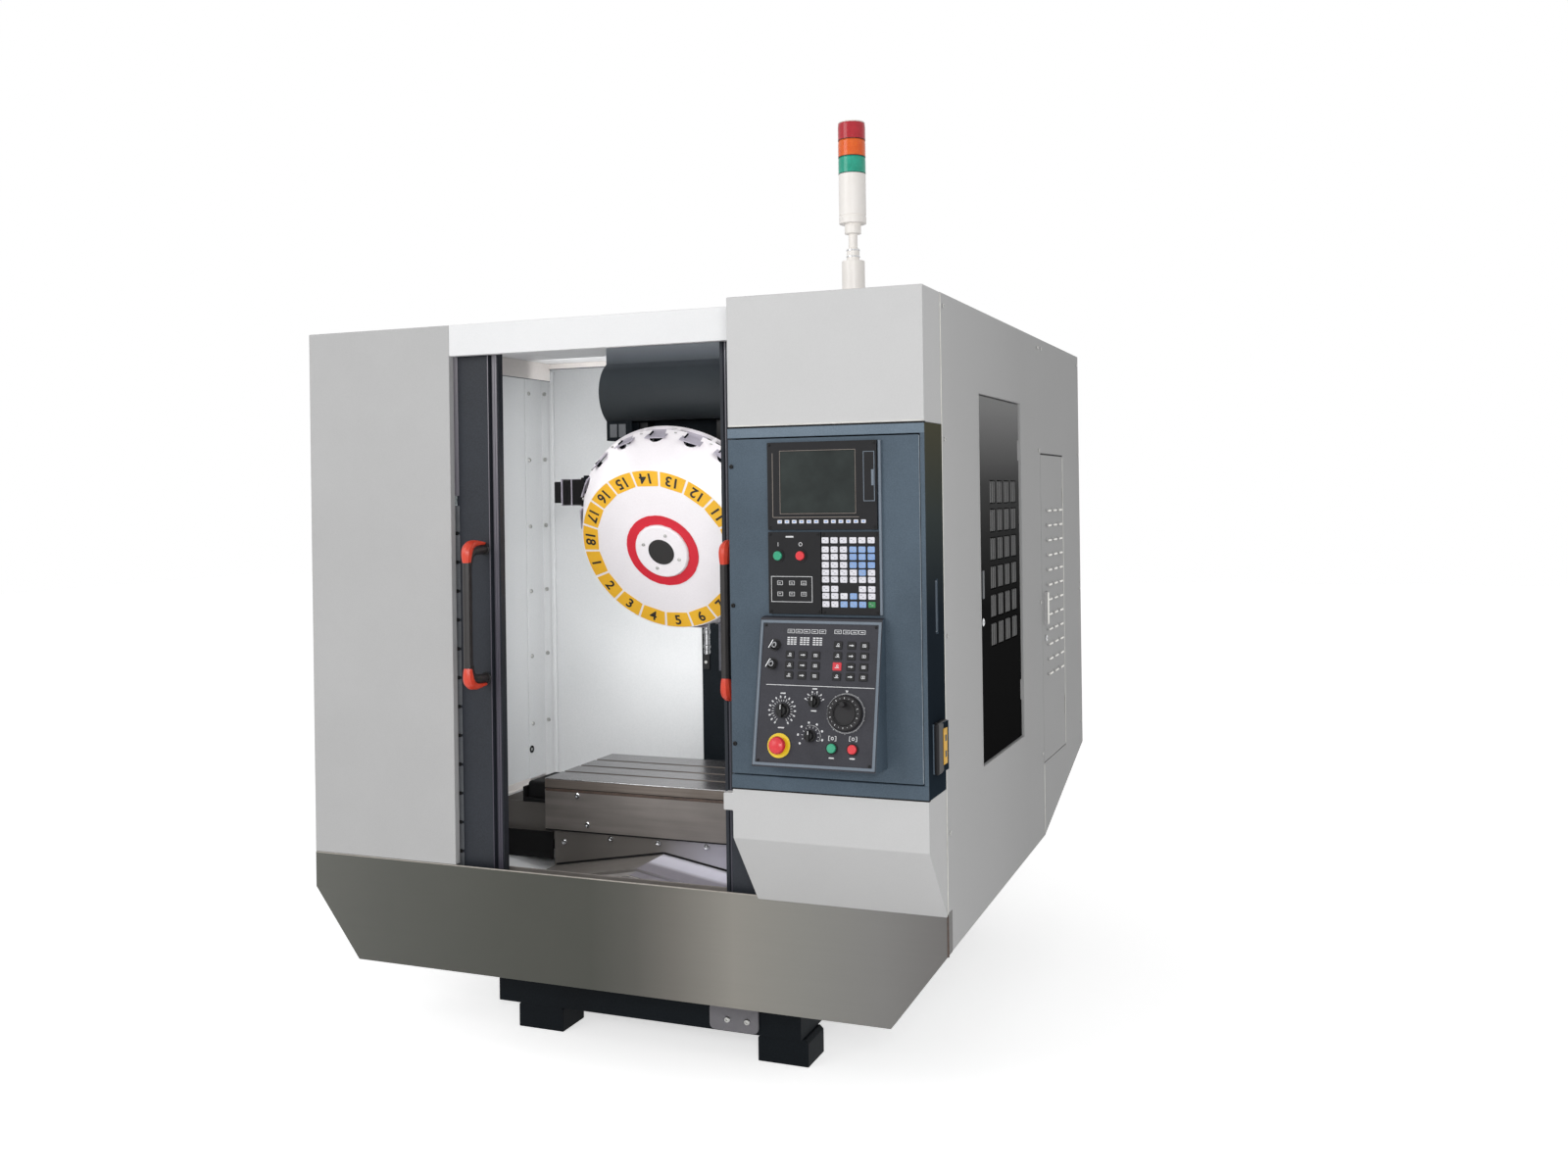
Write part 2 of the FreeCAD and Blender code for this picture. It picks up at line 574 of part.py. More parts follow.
# ---------------------------------------------------------------- sliding doors
def door_leaf(lead, away):
    """Door leaf with a stepped leading edge, a framed window and two top sliders.

    lead is the x of the leading edge and away points to the leaf's hidden side.
    """
    seal = 22.0
    tail = lead + away * DOOR_WIDTH
    front_x = lead + away * seal
    outline = [(lead, DOOR_FRONT + 16), (front_x, DOOR_FRONT + 16), (front_x, DOOR_FRONT),
               (tail, DOOR_FRONT), (tail, DOOR_BACK), (lead, DOOR_BACK)]
    leaf = prism_z(outline, LEDGE_TOP + RUN_GAP, DOOR_TOP)
    window_near = lead + away * 130
    window_far = tail - away * 50
    x0, x1 = sorted((window_near, window_far))
    hole = box(x0, x1, DOOR_FRONT - 1, DOOR_BACK + 1, 900.0, 1700.0)
    rebate = box(x0 - 12, x1 + 12, DOOR_BACK - 14, DOOR_BACK + 1, 888.0, 1712.0)
    pane = box(x0 - 11, x1 + 11, DOOR_BACK - 14, DOOR_BACK - 6, 889.0, 1711.0)
    sliders = []
    rail_y = DOOR_FRONT + 12
    for part in (0.2, 0.8):
        x = lead + away * DOOR_WIDTH * part
        block = box(x - 30, x + 30, rail_y - 9, rail_y + 24, DOOR_TOP, DOOR_TOP + 28)
        groove = box(x - 31, x + 31, rail_y - RUN_GAP, rail_y + 15 + RUN_GAP, DOOR_TOP + 12 - RUN_GAP,
                     DOOR_TOP + 40)
        sliders.append(block.cut(groove))
    return [fused([leaf.cut([hole, rebate])] + sliders), pane]


def door_handle(lead, away):
    """Straight bar between two elbows that curve back to the door."""
    x = lead + away * HANDLE_INSET
    bar_y = DOOR_FRONT - HANDLE_STANDOFF
    elbow_radius = HANDLE_BAR_RADIUS + 3
    foot_radius = elbow_radius + 2
    bend = HANDLE_STANDOFF - 14.0
    sleeve = foot_radius + bend + 10
    bar = rod(HANDLE_BAR_RADIUS, Vec(x, bar_y, HANDLE_LOW + sleeve), Vec(x, bar_y, HANDLE_HIGH - sleeve))
    ends = []
    for end_z, up in ((HANDLE_HIGH, 1), (HANDLE_LOW, -1)):
        level = end_z - up * foot_radius
        turn_start = Vec(x, bar_y, level - up * bend)
        halfway = bend * math.sqrt(0.5)
        arc_mid = Vec(x, bar_y + bend - halfway, level - up * (bend - halfway))
        arc_end = Vec(x, bar_y + bend, level)
        foot = Vec(x, DOOR_FRONT, level)
        path = Part.Wire([Part.Arc(turn_start, arc_mid, arc_end).toShape()])
        circle = Part.Wire([Part.makeCircle(elbow_radius, turn_start, Vec(0, 0, up))])
        elbow = path.makePipeShell([circle], True, False)
        socket = rod(elbow_radius, Vec(x, bar_y, end_z - up * sleeve), turn_start)
        neck = rod(elbow_radius, arc_end, foot)
        disc = rod(foot_radius, foot - Vec(0, 6, 0), foot)
        ends.append(fused([elbow, socket, neck, disc]))
    return [bar] + ends


# ---------------------------------------------------------------- telescopic cover
def gable(half_width, ridge, bottom, y0, y1):
    """Solid roof-shaped block under a cover's outer face."""
    eave = ridge - GABLE_SLOPE * half_width
    outline = [(CENTRE_X - half_width, bottom), (CENTRE_X - half_width, eave), (CENTRE_X, ridge),
               (CENTRE_X + half_width, eave), (CENTRE_X + half_width, bottom)]
    return prism_y(outline, y0, y1)


def cover_section(level, y0, y1):
    """One telescopic section; level 0 is the outermost, on the saddle."""
    half_width = COVER_HALF_WIDTH - level * COVER_SIDE_STEP
    ridge = RIDGE_TOP - level * COVER_STEP
    last = level == 3
    bottom = BED_TOP if last else BED_TOP + 6
    inside = gable(half_width - COVER_SHEET, ridge - COVER_SHEET, bottom - 1, y0 - 1, y1 + 1)
    section = gable(half_width, ridge, bottom, y0, y1).cut(inside)
    if last:
        return section
    lip_bottom = ridge - GABLE_SLOPE * half_width - 12
    lip = gable(half_width - COVER_SHEET, ridge - COVER_SHEET, lip_bottom, y0, y0 + 8)
    next_section = gable(half_width - COVER_SIDE_STEP + RUN_GAP, ridge - COVER_STEP + RUN_GAP,
                         lip_bottom - 1, y0 - 1, y0 + 9)
    return fused([section, lip.cut(next_section)])


def way_cover_front():
    """Fixed front section standing on the bed's nose."""
    return cover_section(3, FRONT_COVER_START, FRONT_COVER_END)


def way_cover_inner():
    """Second moving section."""
    return cover_section(2, COVER_INNER_FRONT, COVER_INNER_FRONT + COVER_LENGTH)


def way_cover_middle():
    """First moving section."""
    return cover_section(1, COVER_MIDDLE_FRONT, COVER_MIDDLE_FRONT + COVER_LENGTH)


# ---------------------------------------------------------------- saddle
def carriage(x, y, along_x, half_long, half_wide, bottom, top, rail_half, rail_top):
    """Guide carriage straddling a rail, with running clearance."""
    if along_x:
        block = box(x - half_long, x + half_long, y - half_wide, y + half_wide, bottom, top)
        groove = box(x - half_long - 1, x + half_long + 1, y - rail_half - RUN_GAP, y + rail_half + RUN_GAP,
                     bottom - 1, rail_top + RUN_GAP)
    else:
        block = box(x - half_wide, x + half_wide, y - half_long, y + half_long, bottom, top)
        groove = box(x - rail_half - RUN_GAP, x + rail_half + RUN_GAP, y - half_long - 1, y + half_long + 1,
                     bottom - 1, rail_top + RUN_GAP)
    return block.cut(groove)


def saddle_casting():
    """Cross slide on four carriages, with long arms under the X rails."""
    outline = [(CENTRE_X - SADDLE_HALF_LENGTH, SADDLE_TOP), (CENTRE_X - SADDLE_HALF_LENGTH, SADDLE_TOP - 35),
               (CENTRE_X - 330, SADDLE_BOTTOM), (CENTRE_X + 330, SADDLE_BOTTOM),
               (CENTRE_X + SADDLE_HALF_LENGTH, SADDLE_TOP - 35), (CENTRE_X + SADDLE_HALF_LENGTH, SADDLE_TOP)]
    arms = prism_y(outline, TABLE_CENTRE_Y - 150, TABLE_CENTRE_Y + 150)
    body = box(CENTRE_X - 325, CENTRE_X + 325, SADDLE_FRONT, TABLE_CENTRE_Y + SADDLE_HALF_DEPTH,
               RIDGE_TOP + 4, SADDLE_TOP)
    belly = box(CENTRE_X - 230, CENTRE_X + 230, SADDLE_FRONT, TABLE_CENTRE_Y + SADDLE_HALF_DEPTH,
                SADDLE_BOTTOM, RIDGE_TOP + 4)
    carriages = []
    for side in (-1, 1):
        for along in (-140, 140):
            carriages.append(carriage(CENTRE_X + side * Y_RAIL_OFFSET, TABLE_CENTRE_Y + along, False, 45, 38,
                                      BED_TOP + 6, SADDLE_BOTTOM, RAIL_WIDTH / 2, BED_TOP + RAIL_HEIGHT))
    nut = box(CENTRE_X - 28, CENTRE_X + 28, TABLE_CENTRE_Y - 40, TABLE_CENTRE_Y + 40,
              BED_TOP + 3, SADDLE_BOTTOM)
    nut_bore = rod(Y_SCREW_RADIUS + RUN_GAP, Vec(CENTRE_X, TABLE_CENTRE_Y - 41, Y_SCREW_Z),
                   Vec(CENTRE_X, TABLE_CENTRE_Y + 41, Y_SCREW_Z))
    bearings = []
    for end in (-1, 1):
        x = CENTRE_X + end * (SADDLE_HALF_LENGTH - 15)
        block = box(x - 15, x + 15, TABLE_CENTRE_Y - 28, TABLE_CENTRE_Y + 28, SADDLE_TOP, X_SCREW_Z + 20)
        bearings.append(block.cut(rod(X_SCREW_RADIUS + FIT_GAP, Vec(x - 16, TABLE_CENTRE_Y, X_SCREW_Z),
                                      Vec(x + 16, TABLE_CENTRE_Y, X_SCREW_Z))))
    casting = fused([arms, body, belly, nut.cut(nut_bore)] + carriages + bearings)
    rails = []
    for side in (-1, 1):
        y = TABLE_CENTRE_Y + side * X_RAIL_OFFSET
        rails.append(box(CENTRE_X - SADDLE_HALF_LENGTH, CENTRE_X + SADDLE_HALF_LENGTH,
                         y - X_RAIL_WIDTH / 2, y + X_RAIL_WIDTH / 2, SADDLE_TOP, SADDLE_TOP + X_RAIL_HEIGHT))
    return [casting] + rails


def saddle_cover():
    """Front plate over the gable with its first section, and guards along the arms."""
    eave = RIDGE_TOP - GABLE_SLOPE * COVER_HALF_WIDTH
    plate_top = SKIRT_BOTTOM + 6
    left = CENTRE_X - COVER_HALF_WIDTH
    right = CENTRE_X + COVER_HALF_WIDTH
    plate = prism_y([(left, eave - 1), (CENTRE_X, RIDGE_TOP - 1), (right, eave - 1), (right, plate_top),
                     (left, plate_top)], SADDLE_PLATE_Y, SADDLE_PLATE_Y + 3)
    flange = box(CENTRE_X - 325, CENTRE_X + 325, SADDLE_PLATE_Y, SADDLE_FRONT, SADDLE_TOP - 13, SADDLE_TOP - 10)
    section = cover_section(0, SADDLE_COVER_FRONT, SADDLE_PLATE_Y + 3)
    guards = []
    guard_y = TABLE_CENTRE_Y - 171
    for side in (-1, 1):
        tip = CENTRE_X + side * SADDLE_HALF_LENGTH
        root = CENTRE_X + side * 330
        x0, x1 = sorted((tip, root))
        for y, inward in ((guard_y, 1), (2 * TABLE_CENTRE_Y - guard_y, -1)):
            y0, y1 = sorted((y, y + inward * 3))
            wall = box(x0, x1, y0, y1, SADDLE_TOP - 30, 606.0)
            f0, f1 = sorted((y, y + inward * 21))
            foot = box(x0, x1, f0, f1, SADDLE_TOP - 33, SADDLE_TOP - 30)
            guards.append(fused([wall, foot]))
    end_x = CENTRE_X - SADDLE_HALF_LENGTH
    end_cap = box(end_x - 3, end_x, guard_y, 2 * TABLE_CENTRE_Y - guard_y, SADDLE_TOP - 33, 606.0)
    return [fused([plate, flange, section])] + guards + [end_cap]


def x_axis_motor():
    """X motor on the right end of the saddle."""
    motor = servo_motor(150.0, 50.0)
    return placed(motor, Vec(CENTRE_X + SADDLE_HALF_LENGTH, TABLE_CENTRE_Y, X_SCREW_Z),
                  Rot(Vec(0, 1, 0), 90))


def x_ball_screw():
    """X screw between the saddle's bearings."""
    return rod(X_SCREW_RADIUS, Vec(CENTRE_X - SADDLE_HALF_LENGTH + 1, TABLE_CENTRE_Y, X_SCREW_Z),
               Vec(CENTRE_X + SADDLE_HALF_LENGTH - 0.3, TABLE_CENTRE_Y, X_SCREW_Z))


# ---------------------------------------------------------------- table
def work_table():
    """Table plate with three T-slots, a rib block, four carriages and the screw nut."""
    x0 = TABLE_CENTRE_X - TABLE_LENGTH / 2
    x1 = TABLE_CENTRE_X + TABLE_LENGTH / 2
    band = box(x0, x1, TABLE_FRONT, TABLE_FRONT + TABLE_DEPTH, TABLE_TOP - TABLE_BAND, TABLE_TOP)
    plate = box(x0, x1, TABLE_FRONT + 10, TABLE_FRONT + TABLE_DEPTH - 10, TABLE_UNDER, TABLE_TOP)
    ribs = box(TABLE_CENTRE_X - 240, TABLE_CENTRE_X + 240, TABLE_CENTRE_Y - 148, TABLE_CENTRE_Y + 148,
               CARRIAGE_TOP, TABLE_UNDER)
    pieces = [band, plate, ribs]
    for along in (-195, 195):
        for side in (-1, 1):
            pieces.append(carriage(TABLE_CENTRE_X + along, TABLE_CENTRE_Y + side * X_RAIL_OFFSET, True, 42, 34,
                                   SADDLE_TOP + 5, CARRIAGE_TOP, X_RAIL_WIDTH / 2,
                                   SADDLE_TOP + X_RAIL_HEIGHT))
    nut = box(TABLE_CENTRE_X - 50, TABLE_CENTRE_X + 50, TABLE_CENTRE_Y - 28, TABLE_CENTRE_Y + 28,
              SADDLE_TOP + 4, CARRIAGE_TOP)
    nut_bore = rod(X_SCREW_RADIUS + RUN_GAP, Vec(TABLE_CENTRE_X - 51, TABLE_CENTRE_Y, X_SCREW_Z),
                   Vec(TABLE_CENTRE_X + 51, TABLE_CENTRE_Y, X_SCREW_Z))
    pieces.append(nut.cut(nut_bore))
    slots = []
    for index in range(3):
        y = TABLE_FRONT + SLOT_FROM_FRONT + index * SLOT_PITCH
        neck_bottom = TABLE_TOP - SLOT_NECK_DEPTH
        slots.append(box(x0 - 1, x1 + 1, y - SLOT_WIDTH / 2, y + SLOT_WIDTH / 2, neck_bottom - 1, TABLE_TOP + 1))
        slots.append(box(x0 - 1, x1 + 1, y - SLOT_HEAD_WIDTH / 2, y + SLOT_HEAD_WIDTH / 2,
                         neck_bottom - SLOT_HEAD_DEPTH, neck_bottom))
    return fused(pieces).cut(slots)


def table_skirt():
    """Folded guard hung in front of the saddle."""
    x0 = TABLE_CENTRE_X - TABLE_LENGTH / 2
    x1 = TABLE_CENTRE_X + TABLE_LENGTH / 2
    outline = [(TABLE_FRONT, SKIRT_BOTTOM), (TABLE_FRONT + 3, SKIRT_BOTTOM), (TABLE_FRONT + 3, SKIRT_TOP - 3),
               (TABLE_FRONT + 10, SKIRT_TOP - 3), (TABLE_FRONT + 10, SKIRT_TOP), (TABLE_FRONT, SKIRT_TOP)]
    return prism_x(outline, x0, x1)


# ---------------------------------------------------------------- head and spindle
def head_casting():
    """Head with the spindle cartridge, the turret's pivot pins and four carriages."""
    body = prism_x([(SPINDLE_Y - 70, 1400.0), (SPINDLE_Y - 70, HEAD_TOP), (240.0, HEAD_TOP),
                    (240.0, 1340.0), (60.0, 1400.0)],
                   CENTRE_X - HEAD_HALF_WIDTH, CENTRE_X + HEAD_HALF_WIDTH)
    back = box(CENTRE_X - 190, CENTRE_X + 190, 240.0, COLUMN_FRONT - 54, 1330.0, HEAD_TOP)
    axis = Vec(CENTRE_X, SPINDLE_Y, 0)
    cartridge = turned([(0, NOSE_Z), (CARTRIDGE_RADIUS - 16, NOSE_Z), (CARTRIDGE_RADIUS, NOSE_Z + 24),
                        (CARTRIDGE_RADIUS, 1385.0), (CARTRIDGE_RADIUS + 12, 1385.0),
                        (CARTRIDGE_RADIUS + 12, 1402.0), (0, 1402.0)], axis)
    spindle_bore = rod(SHAFT_RADIUS + FIT_GAP, axis + Vec(0, 0, NOSE_Z - 1), axis + Vec(0, 0, 1396.0))
    pieces = [body, back, cartridge]
    for side in (-1, 1):
        face = CENTRE_X + side * HEAD_HALF_WIDTH
        pin_end = CENTRE_X + side * (ARM_INSIDE + ARM_THICKNESS + 6)
        boss_end = CENTRE_X + side * (ARM_INSIDE - RUN_GAP)
        pieces.append(rod(34.0, Vec(face, ARM_PIVOT_Y, ARM_PIVOT_Z), Vec(boss_end, ARM_PIVOT_Y, ARM_PIVOT_Z)))
        pieces.append(rod(ARM_PIN_RADIUS, Vec(face, ARM_PIVOT_Y, ARM_PIVOT_Z), Vec(pin_end, ARM_PIVOT_Y, ARM_PIVOT_Z)))
        for height in (1400.0, 1700.0):
            x = CENTRE_X + side * Z_RAIL_OFFSET
            block = box(x - 40, x + 40, COLUMN_FRONT - 54, COLUMN_FRONT - 6, height - 45, height + 45)
            groove = box(x - RAIL_WIDTH / 2 - RUN_GAP, x + RAIL_WIDTH / 2 + RUN_GAP,
                         COLUMN_FRONT - RAIL_HEIGHT - RUN_GAP, COLUMN_FRONT, height - 46, height + 46)
            pieces.append(block.cut(groove))
    nut = box(CENTRE_X - 40, CENTRE_X + 40, COLUMN_FRONT - 54, COLUMN_FRONT - 3, 1500.0, 1580.0)
    nut_bore = rod(Z_SCREW_RADIUS + RUN_GAP, Vec(CENTRE_X, Z_SCREW_Y, 1499), Vec(CENTRE_X, Z_SCREW_Y, 1581))
    pieces.append(nut)
    relief = box(CENTRE_X - 22, CENTRE_X + 22, COLUMN_FRONT - 54 - 2, COLUMN_FRONT, 1329.0, 1500.0)
    relief_top = box(CENTRE_X - 22, CENTRE_X + 22, COLUMN_FRONT - 54 - 2, COLUMN_FRONT, 1580.0, HEAD_TOP + 1)
    return fused(pieces).cut([spindle_bore, nut_bore, relief, relief_top])


def spindle_motor():
    """Spindle motor standing on the head."""
    body = servo_motor(215.0, 90.0)
    return body.translated(Vec(CENTRE_X, SPINDLE_Y, HEAD_TOP))


def head_cover():
    """Rounded-nose sheet cover round the spindle motor."""
    def outline(inset):
        bottom = HEAD_TOP + inset
        top = HEAD_COVER_TOP - inset
        front = HEAD_COVER_FRONT + inset
        nose_top = Vec(0, front, HEAD_COVER_TOP - 50)
        nose_mid = Vec(0, front - HEAD_COVER_NOSE, (HEAD_COVER_TOP - 50 + HEAD_TOP) / 2)
        nose_low = Vec(0, front, bottom)
        return [Part.makeLine(Vec(0, -50.0 - inset, bottom), Vec(0, -50.0 - inset, top)),
                Part.makeLine(Vec(0, -50.0 - inset, top), Vec(0, front, top)),
                Part.makeLine(Vec(0, front, top), nose_top),
                Part.Arc(nose_top, nose_mid, nose_low).toShape(),
                Part.makeLine(nose_low, Vec(0, -50.0 - inset, bottom))]
    width = 2 * HEAD_COVER_HALF_WIDTH
    left = Vec(CENTRE_X - HEAD_COVER_HALF_WIDTH, 0, 0)
    outer = Part.Face(Part.Wire(outline(0))).extrude(Vec(width, 0, 0)).translated(left)
    inner = Part.Face(Part.Wire(outline(SHEET))).extrude(Vec(width - 2 * SHEET, 0, 0))
    inner.translate(left + Vec(SHEET, 0, 0))
    motor_hole = box(CENTRE_X - 92, CENTRE_X + 92, SPINDLE_Y - 92, SPINDLE_Y + 92, HEAD_TOP - 1, HEAD_TOP + 10)
    return outer.cut([inner, motor_hole])


def spindle_shaft():
    """Spindle with its tool taper, draw-bar bore and two drive keys."""
    small = TAPER_RADIUS - TAPER_DEPTH * TAPER_RATE / 2
    profile = [(TAPER_RADIUS, NOSE_Z - 2), (SHAFT_RADIUS, NOSE_Z - 2), (SHAFT_RADIUS, 1395.0), (0, 1395.0),
               (0, 1250.0), (small, 1250.0), (small, NOSE_Z - 2 + TAPER_DEPTH)]
    shaft = turned(profile, Vec(CENTRE_X, SPINDLE_Y, 0))
    keys = []
    for side in (-1, 1):
        x = CENTRE_X + side * (TAPER_RADIUS + 9)
        keys.append(box(x - 5, x + 5, SPINDLE_Y - 8, SPINDLE_Y + 8, NOSE_Z - 4, NOSE_Z - 2))
    return fused([shaft] + keys)


# ---------------------------------------------------------------- tool turret
def on_turret(shape):
    """Carry a shape from the turret's own frame to the machine.

    In the turret's frame +Z runs back along its axis from the front face and
    +Y points to its lowest pocket.
    """
    return placed(shape, Vec(CENTRE_X, FACE_CENTRE_Y, FACE_CENTRE_Z), Rot(Vec(1, 0, 0), TURRET_TILT - 90.0))


def round_turret(shape, index):
    """Copy in the turret's frame, turned to pocket number index."""
    copy = shape.copy()
    copy.rotate(Vec(0, 0, 0), Vec(0, 0, 1), index * 360.0 / POCKETS)
    return copy


def cone_radius(depth):
    """Outer radius of the cone at a depth behind its face."""
    return TURRET_FACE_RADIUS + (TURRET_RIM_RADIUS - TURRET_FACE_RADIUS) * depth / TURRET_DEPTH


def turret_cone():
    """Hollow cone with a bearing boss and a notch in the rim at every pocket."""
    wall = TURRET_WALL
    boss = TURRET_SHAFT_RADIUS + 30
    bore = TURRET_SHAFT_RADIUS + FIT_GAP
    profile = [(bore, 0), (TURRET_FACE_RADIUS, 0), (TURRET_RIM_RADIUS, TURRET_DEPTH),
               (TURRET_RIM_RADIUS - wall, TURRET_DEPTH), (cone_radius(wall) - wall, wall),
               (boss, wall), (boss, wall + TURRET_BOSS_LENGTH), (bore, wall + TURRET_BOSS_LENGTH)]
    shell = turned(profile)
    half = NOTCH_WIDTH / 2
    round_centre = TURRET_DEPTH - NOTCH_DEPTH + half
    inner = TURRET_FACE_RADIUS
    outer = TURRET_RIM_RADIUS + 20
    slot = box(-half, half, inner, outer, round_centre, TURRET_DEPTH + 5)
    scallop = rod(half, Vec(0, inner, round_centre), Vec(0, outer, round_centre))
    notch = slot.fuse(scallop)
    notches = [round_turret(notch, index) for index in range(POCKETS)]
    return on_turret(shell.cut(notches))


def tool_grippers():
    """A pair of sprung fingers at every pocket, drawn at the spindle and copied round."""
    thick = 7.0
    top = NOSE_Z - GRIPPER_BELOW_NOSE
    tip = SPINDLE_Y + 12
    root = SPINDLE_Y - 56
    to_frame = Place(Vec(CENTRE_X, FACE_CENTRE_Y, FACE_CENTRE_Z), Rot(Vec(1, 0, 0), TURRET_TILT - 90.0)).inverse()
    wall = TURRET_WALL + RUN_GAP
    shell = turned([(TURRET_FACE_RADIUS - wall, 0), (TURRET_RIM_RADIUS + 50, 0),
                    (TURRET_RIM_RADIUS + 50, TURRET_DEPTH), (TURRET_RIM_RADIUS - wall, TURRET_DEPTH)])
    fingers = []
    for side in (-1, 1):
        outline = [(CENTRE_X + side * 18.5, tip), (CENTRE_X + side * 22, tip + 4), (CENTRE_X + side * 29, tip - 6),
                   (CENTRE_X + side * 30, root), (CENTRE_X + side * 4, root), (CENTRE_X + side * 4, root + 22),
                   (CENTRE_X + side * 14, root + 32), (CENTRE_X + side * 20, SPINDLE_Y)]
        x0, x1 = sorted((CENTRE_X + side * 4, CENTRE_X + side * 30))
        foot = box(x0, x1, root, root + 20, top - thick - 12, top - thick + 1)
        finger = prism_z(outline, top - thick, top).fuse(foot)
        finger.Placement = to_frame.multiply(finger.Placement)
        fingers.append(finger.cut(shell).removeSplitter())
    around = []
    for index in range(POCKETS):
        for finger in fingers:
            around.append(on_turret(round_turret(finger, index)))
    return around


def number_plates():
    """Eighteen flat plates near the edge of the front face."""
    outer = TURRET_FACE_RADIUS - 3
    inner = outer - PLATE_BAND
    half_angle = math.radians(PLATE_HALF_ANGLE)
    across = [Vec(inner * math.sin(a), inner * math.cos(a), 0) for a in (-half_angle, half_angle)]
    rim = [Vec(outer * math.sin(a), outer * math.cos(a), 0) for a in (half_angle, 0, -half_angle)]
    edges = [Part.makeLine(across[0], across[1]), Part.makeLine(across[1], rim[0]),
             Part.Arc(rim[0], rim[1], rim[2]).toShape(), Part.makeLine(rim[2], across[0])]
    plate = Part.Face(Part.Wire(edges)).extrude(Vec(0, 0, -1.2))
    return [on_turret(round_turret(plate, index)) for index in range(POCKETS)]


def turret_hub():
    """Domed hub cap, the ring round it and the centre disc."""
    cap = turned([(0, 0), (84, 0), (84, -6), (80, -10), (0, -10)])
    ring = turned([(84.5, 0), (108, 0), (108, -1.2), (84.5, -1.2)])
    disc = turned([(0, -10), (41, -10), (39, -13), (0, -13)])
    return [on_turret(shape) for shape in (cap, ring, disc)]


def turret_arm():
    """Turret shaft and cross carrier on two side arms that hang from the head's pins."""
    boss_end = TURRET_WALL + TURRET_BOSS_LENGTH
    shaft = rod(TURRET_SHAFT_RADIUS, Vec(0, 0, 3), Vec(0, 0, boss_end + 20))
    flange = rod(TURRET_SHAFT_RADIUS + 45, Vec(0, 0, boss_end + RUN_GAP), Vec(0, 0, boss_end + 20))
    outer = ARM_INSIDE + ARM_THICKNESS
    carrier = box(-outer, outer, -60, 60, boss_end + 15, boss_end + 40)
    pieces = [on_turret(fused([shaft, flange, carrier]))]
    corners = [(-60, boss_end + 15), (60, boss_end + 15), (60, boss_end + 40)]
    front = []
    for y, z in corners:
        front.append((FACE_CENTRE_Y + y * math.sin(TILT) + z * math.cos(TILT),
                      FACE_CENTRE_Z - y * math.cos(TILT) + z * math.sin(TILT)))
    plate_outline = front + [(TURRET_MOTOR_Y + 20, TURRET_MOTOR_Z - 40), (TURRET_MOTOR_Y + 34, TURRET_MOTOR_Z),
                             (ARM_PIVOT_Y + 38, ARM_PIVOT_Z + 24), (ARM_PIVOT_Y - 31, ARM_PIVOT_Z + 32)]
    for side in (-1, 1):
        x0, x1 = sorted((CENTRE_X + side * ARM_INSIDE, CENTRE_X + side * outer))
        plate = prism_x(plate_outline, x0, x1)
        eye = rod(45.0, Vec(x0, ARM_PIVOT_Y, ARM_PIVOT_Z), Vec(x1, ARM_PIVOT_Y, ARM_PIVOT_Z))
        bore = rod(ARM_PIN_RADIUS + FIT_GAP, Vec(x0 - 1, ARM_PIVOT_Y, ARM_PIVOT_Z),
                   Vec(x1 + 1, ARM_PIVOT_Y, ARM_PIVOT_Z))
        pieces.append(fused([plate, eye]).cut(bore))
    tube = rod(28.0, Vec(CENTRE_X - ARM_INSIDE - 5, TURRET_MOTOR_Y, TURRET_MOTOR_Z),
               Vec(TURRET_MOTOR_X, TURRET_MOTOR_Y, TURRET_MOTOR_Z))
    flange_plate = box(TURRET_MOTOR_X, TURRET_MOTOR_X + 12, TURRET_MOTOR_Y - 52, TURRET_MOTOR_Y + 52,
                       TURRET_MOTOR_Z - 52, TURRET_MOTOR_Z + 52)
    return fused(pieces + [tube, flange_plate])


def turret_motor():
    """Motor that turns the turret, at the left end of the arm."""
    return placed(servo_motor(118.0, 46.0), Vec(TURRET_MOTOR_X, TURRET_MOTOR_Y, TURRET_MOTOR_Z),
                  Rot(Vec(0, 1, 0), -90))


# ---------------------------------------------------------------- console
def console_top_box():
    """Upper box of the console column."""
    return box(CONSOLE_LEFT, HALF_WIDTH, CONSOLE_FRONT, APRON_FRONT, CONSOLE_TOP, ROOF_TOP)


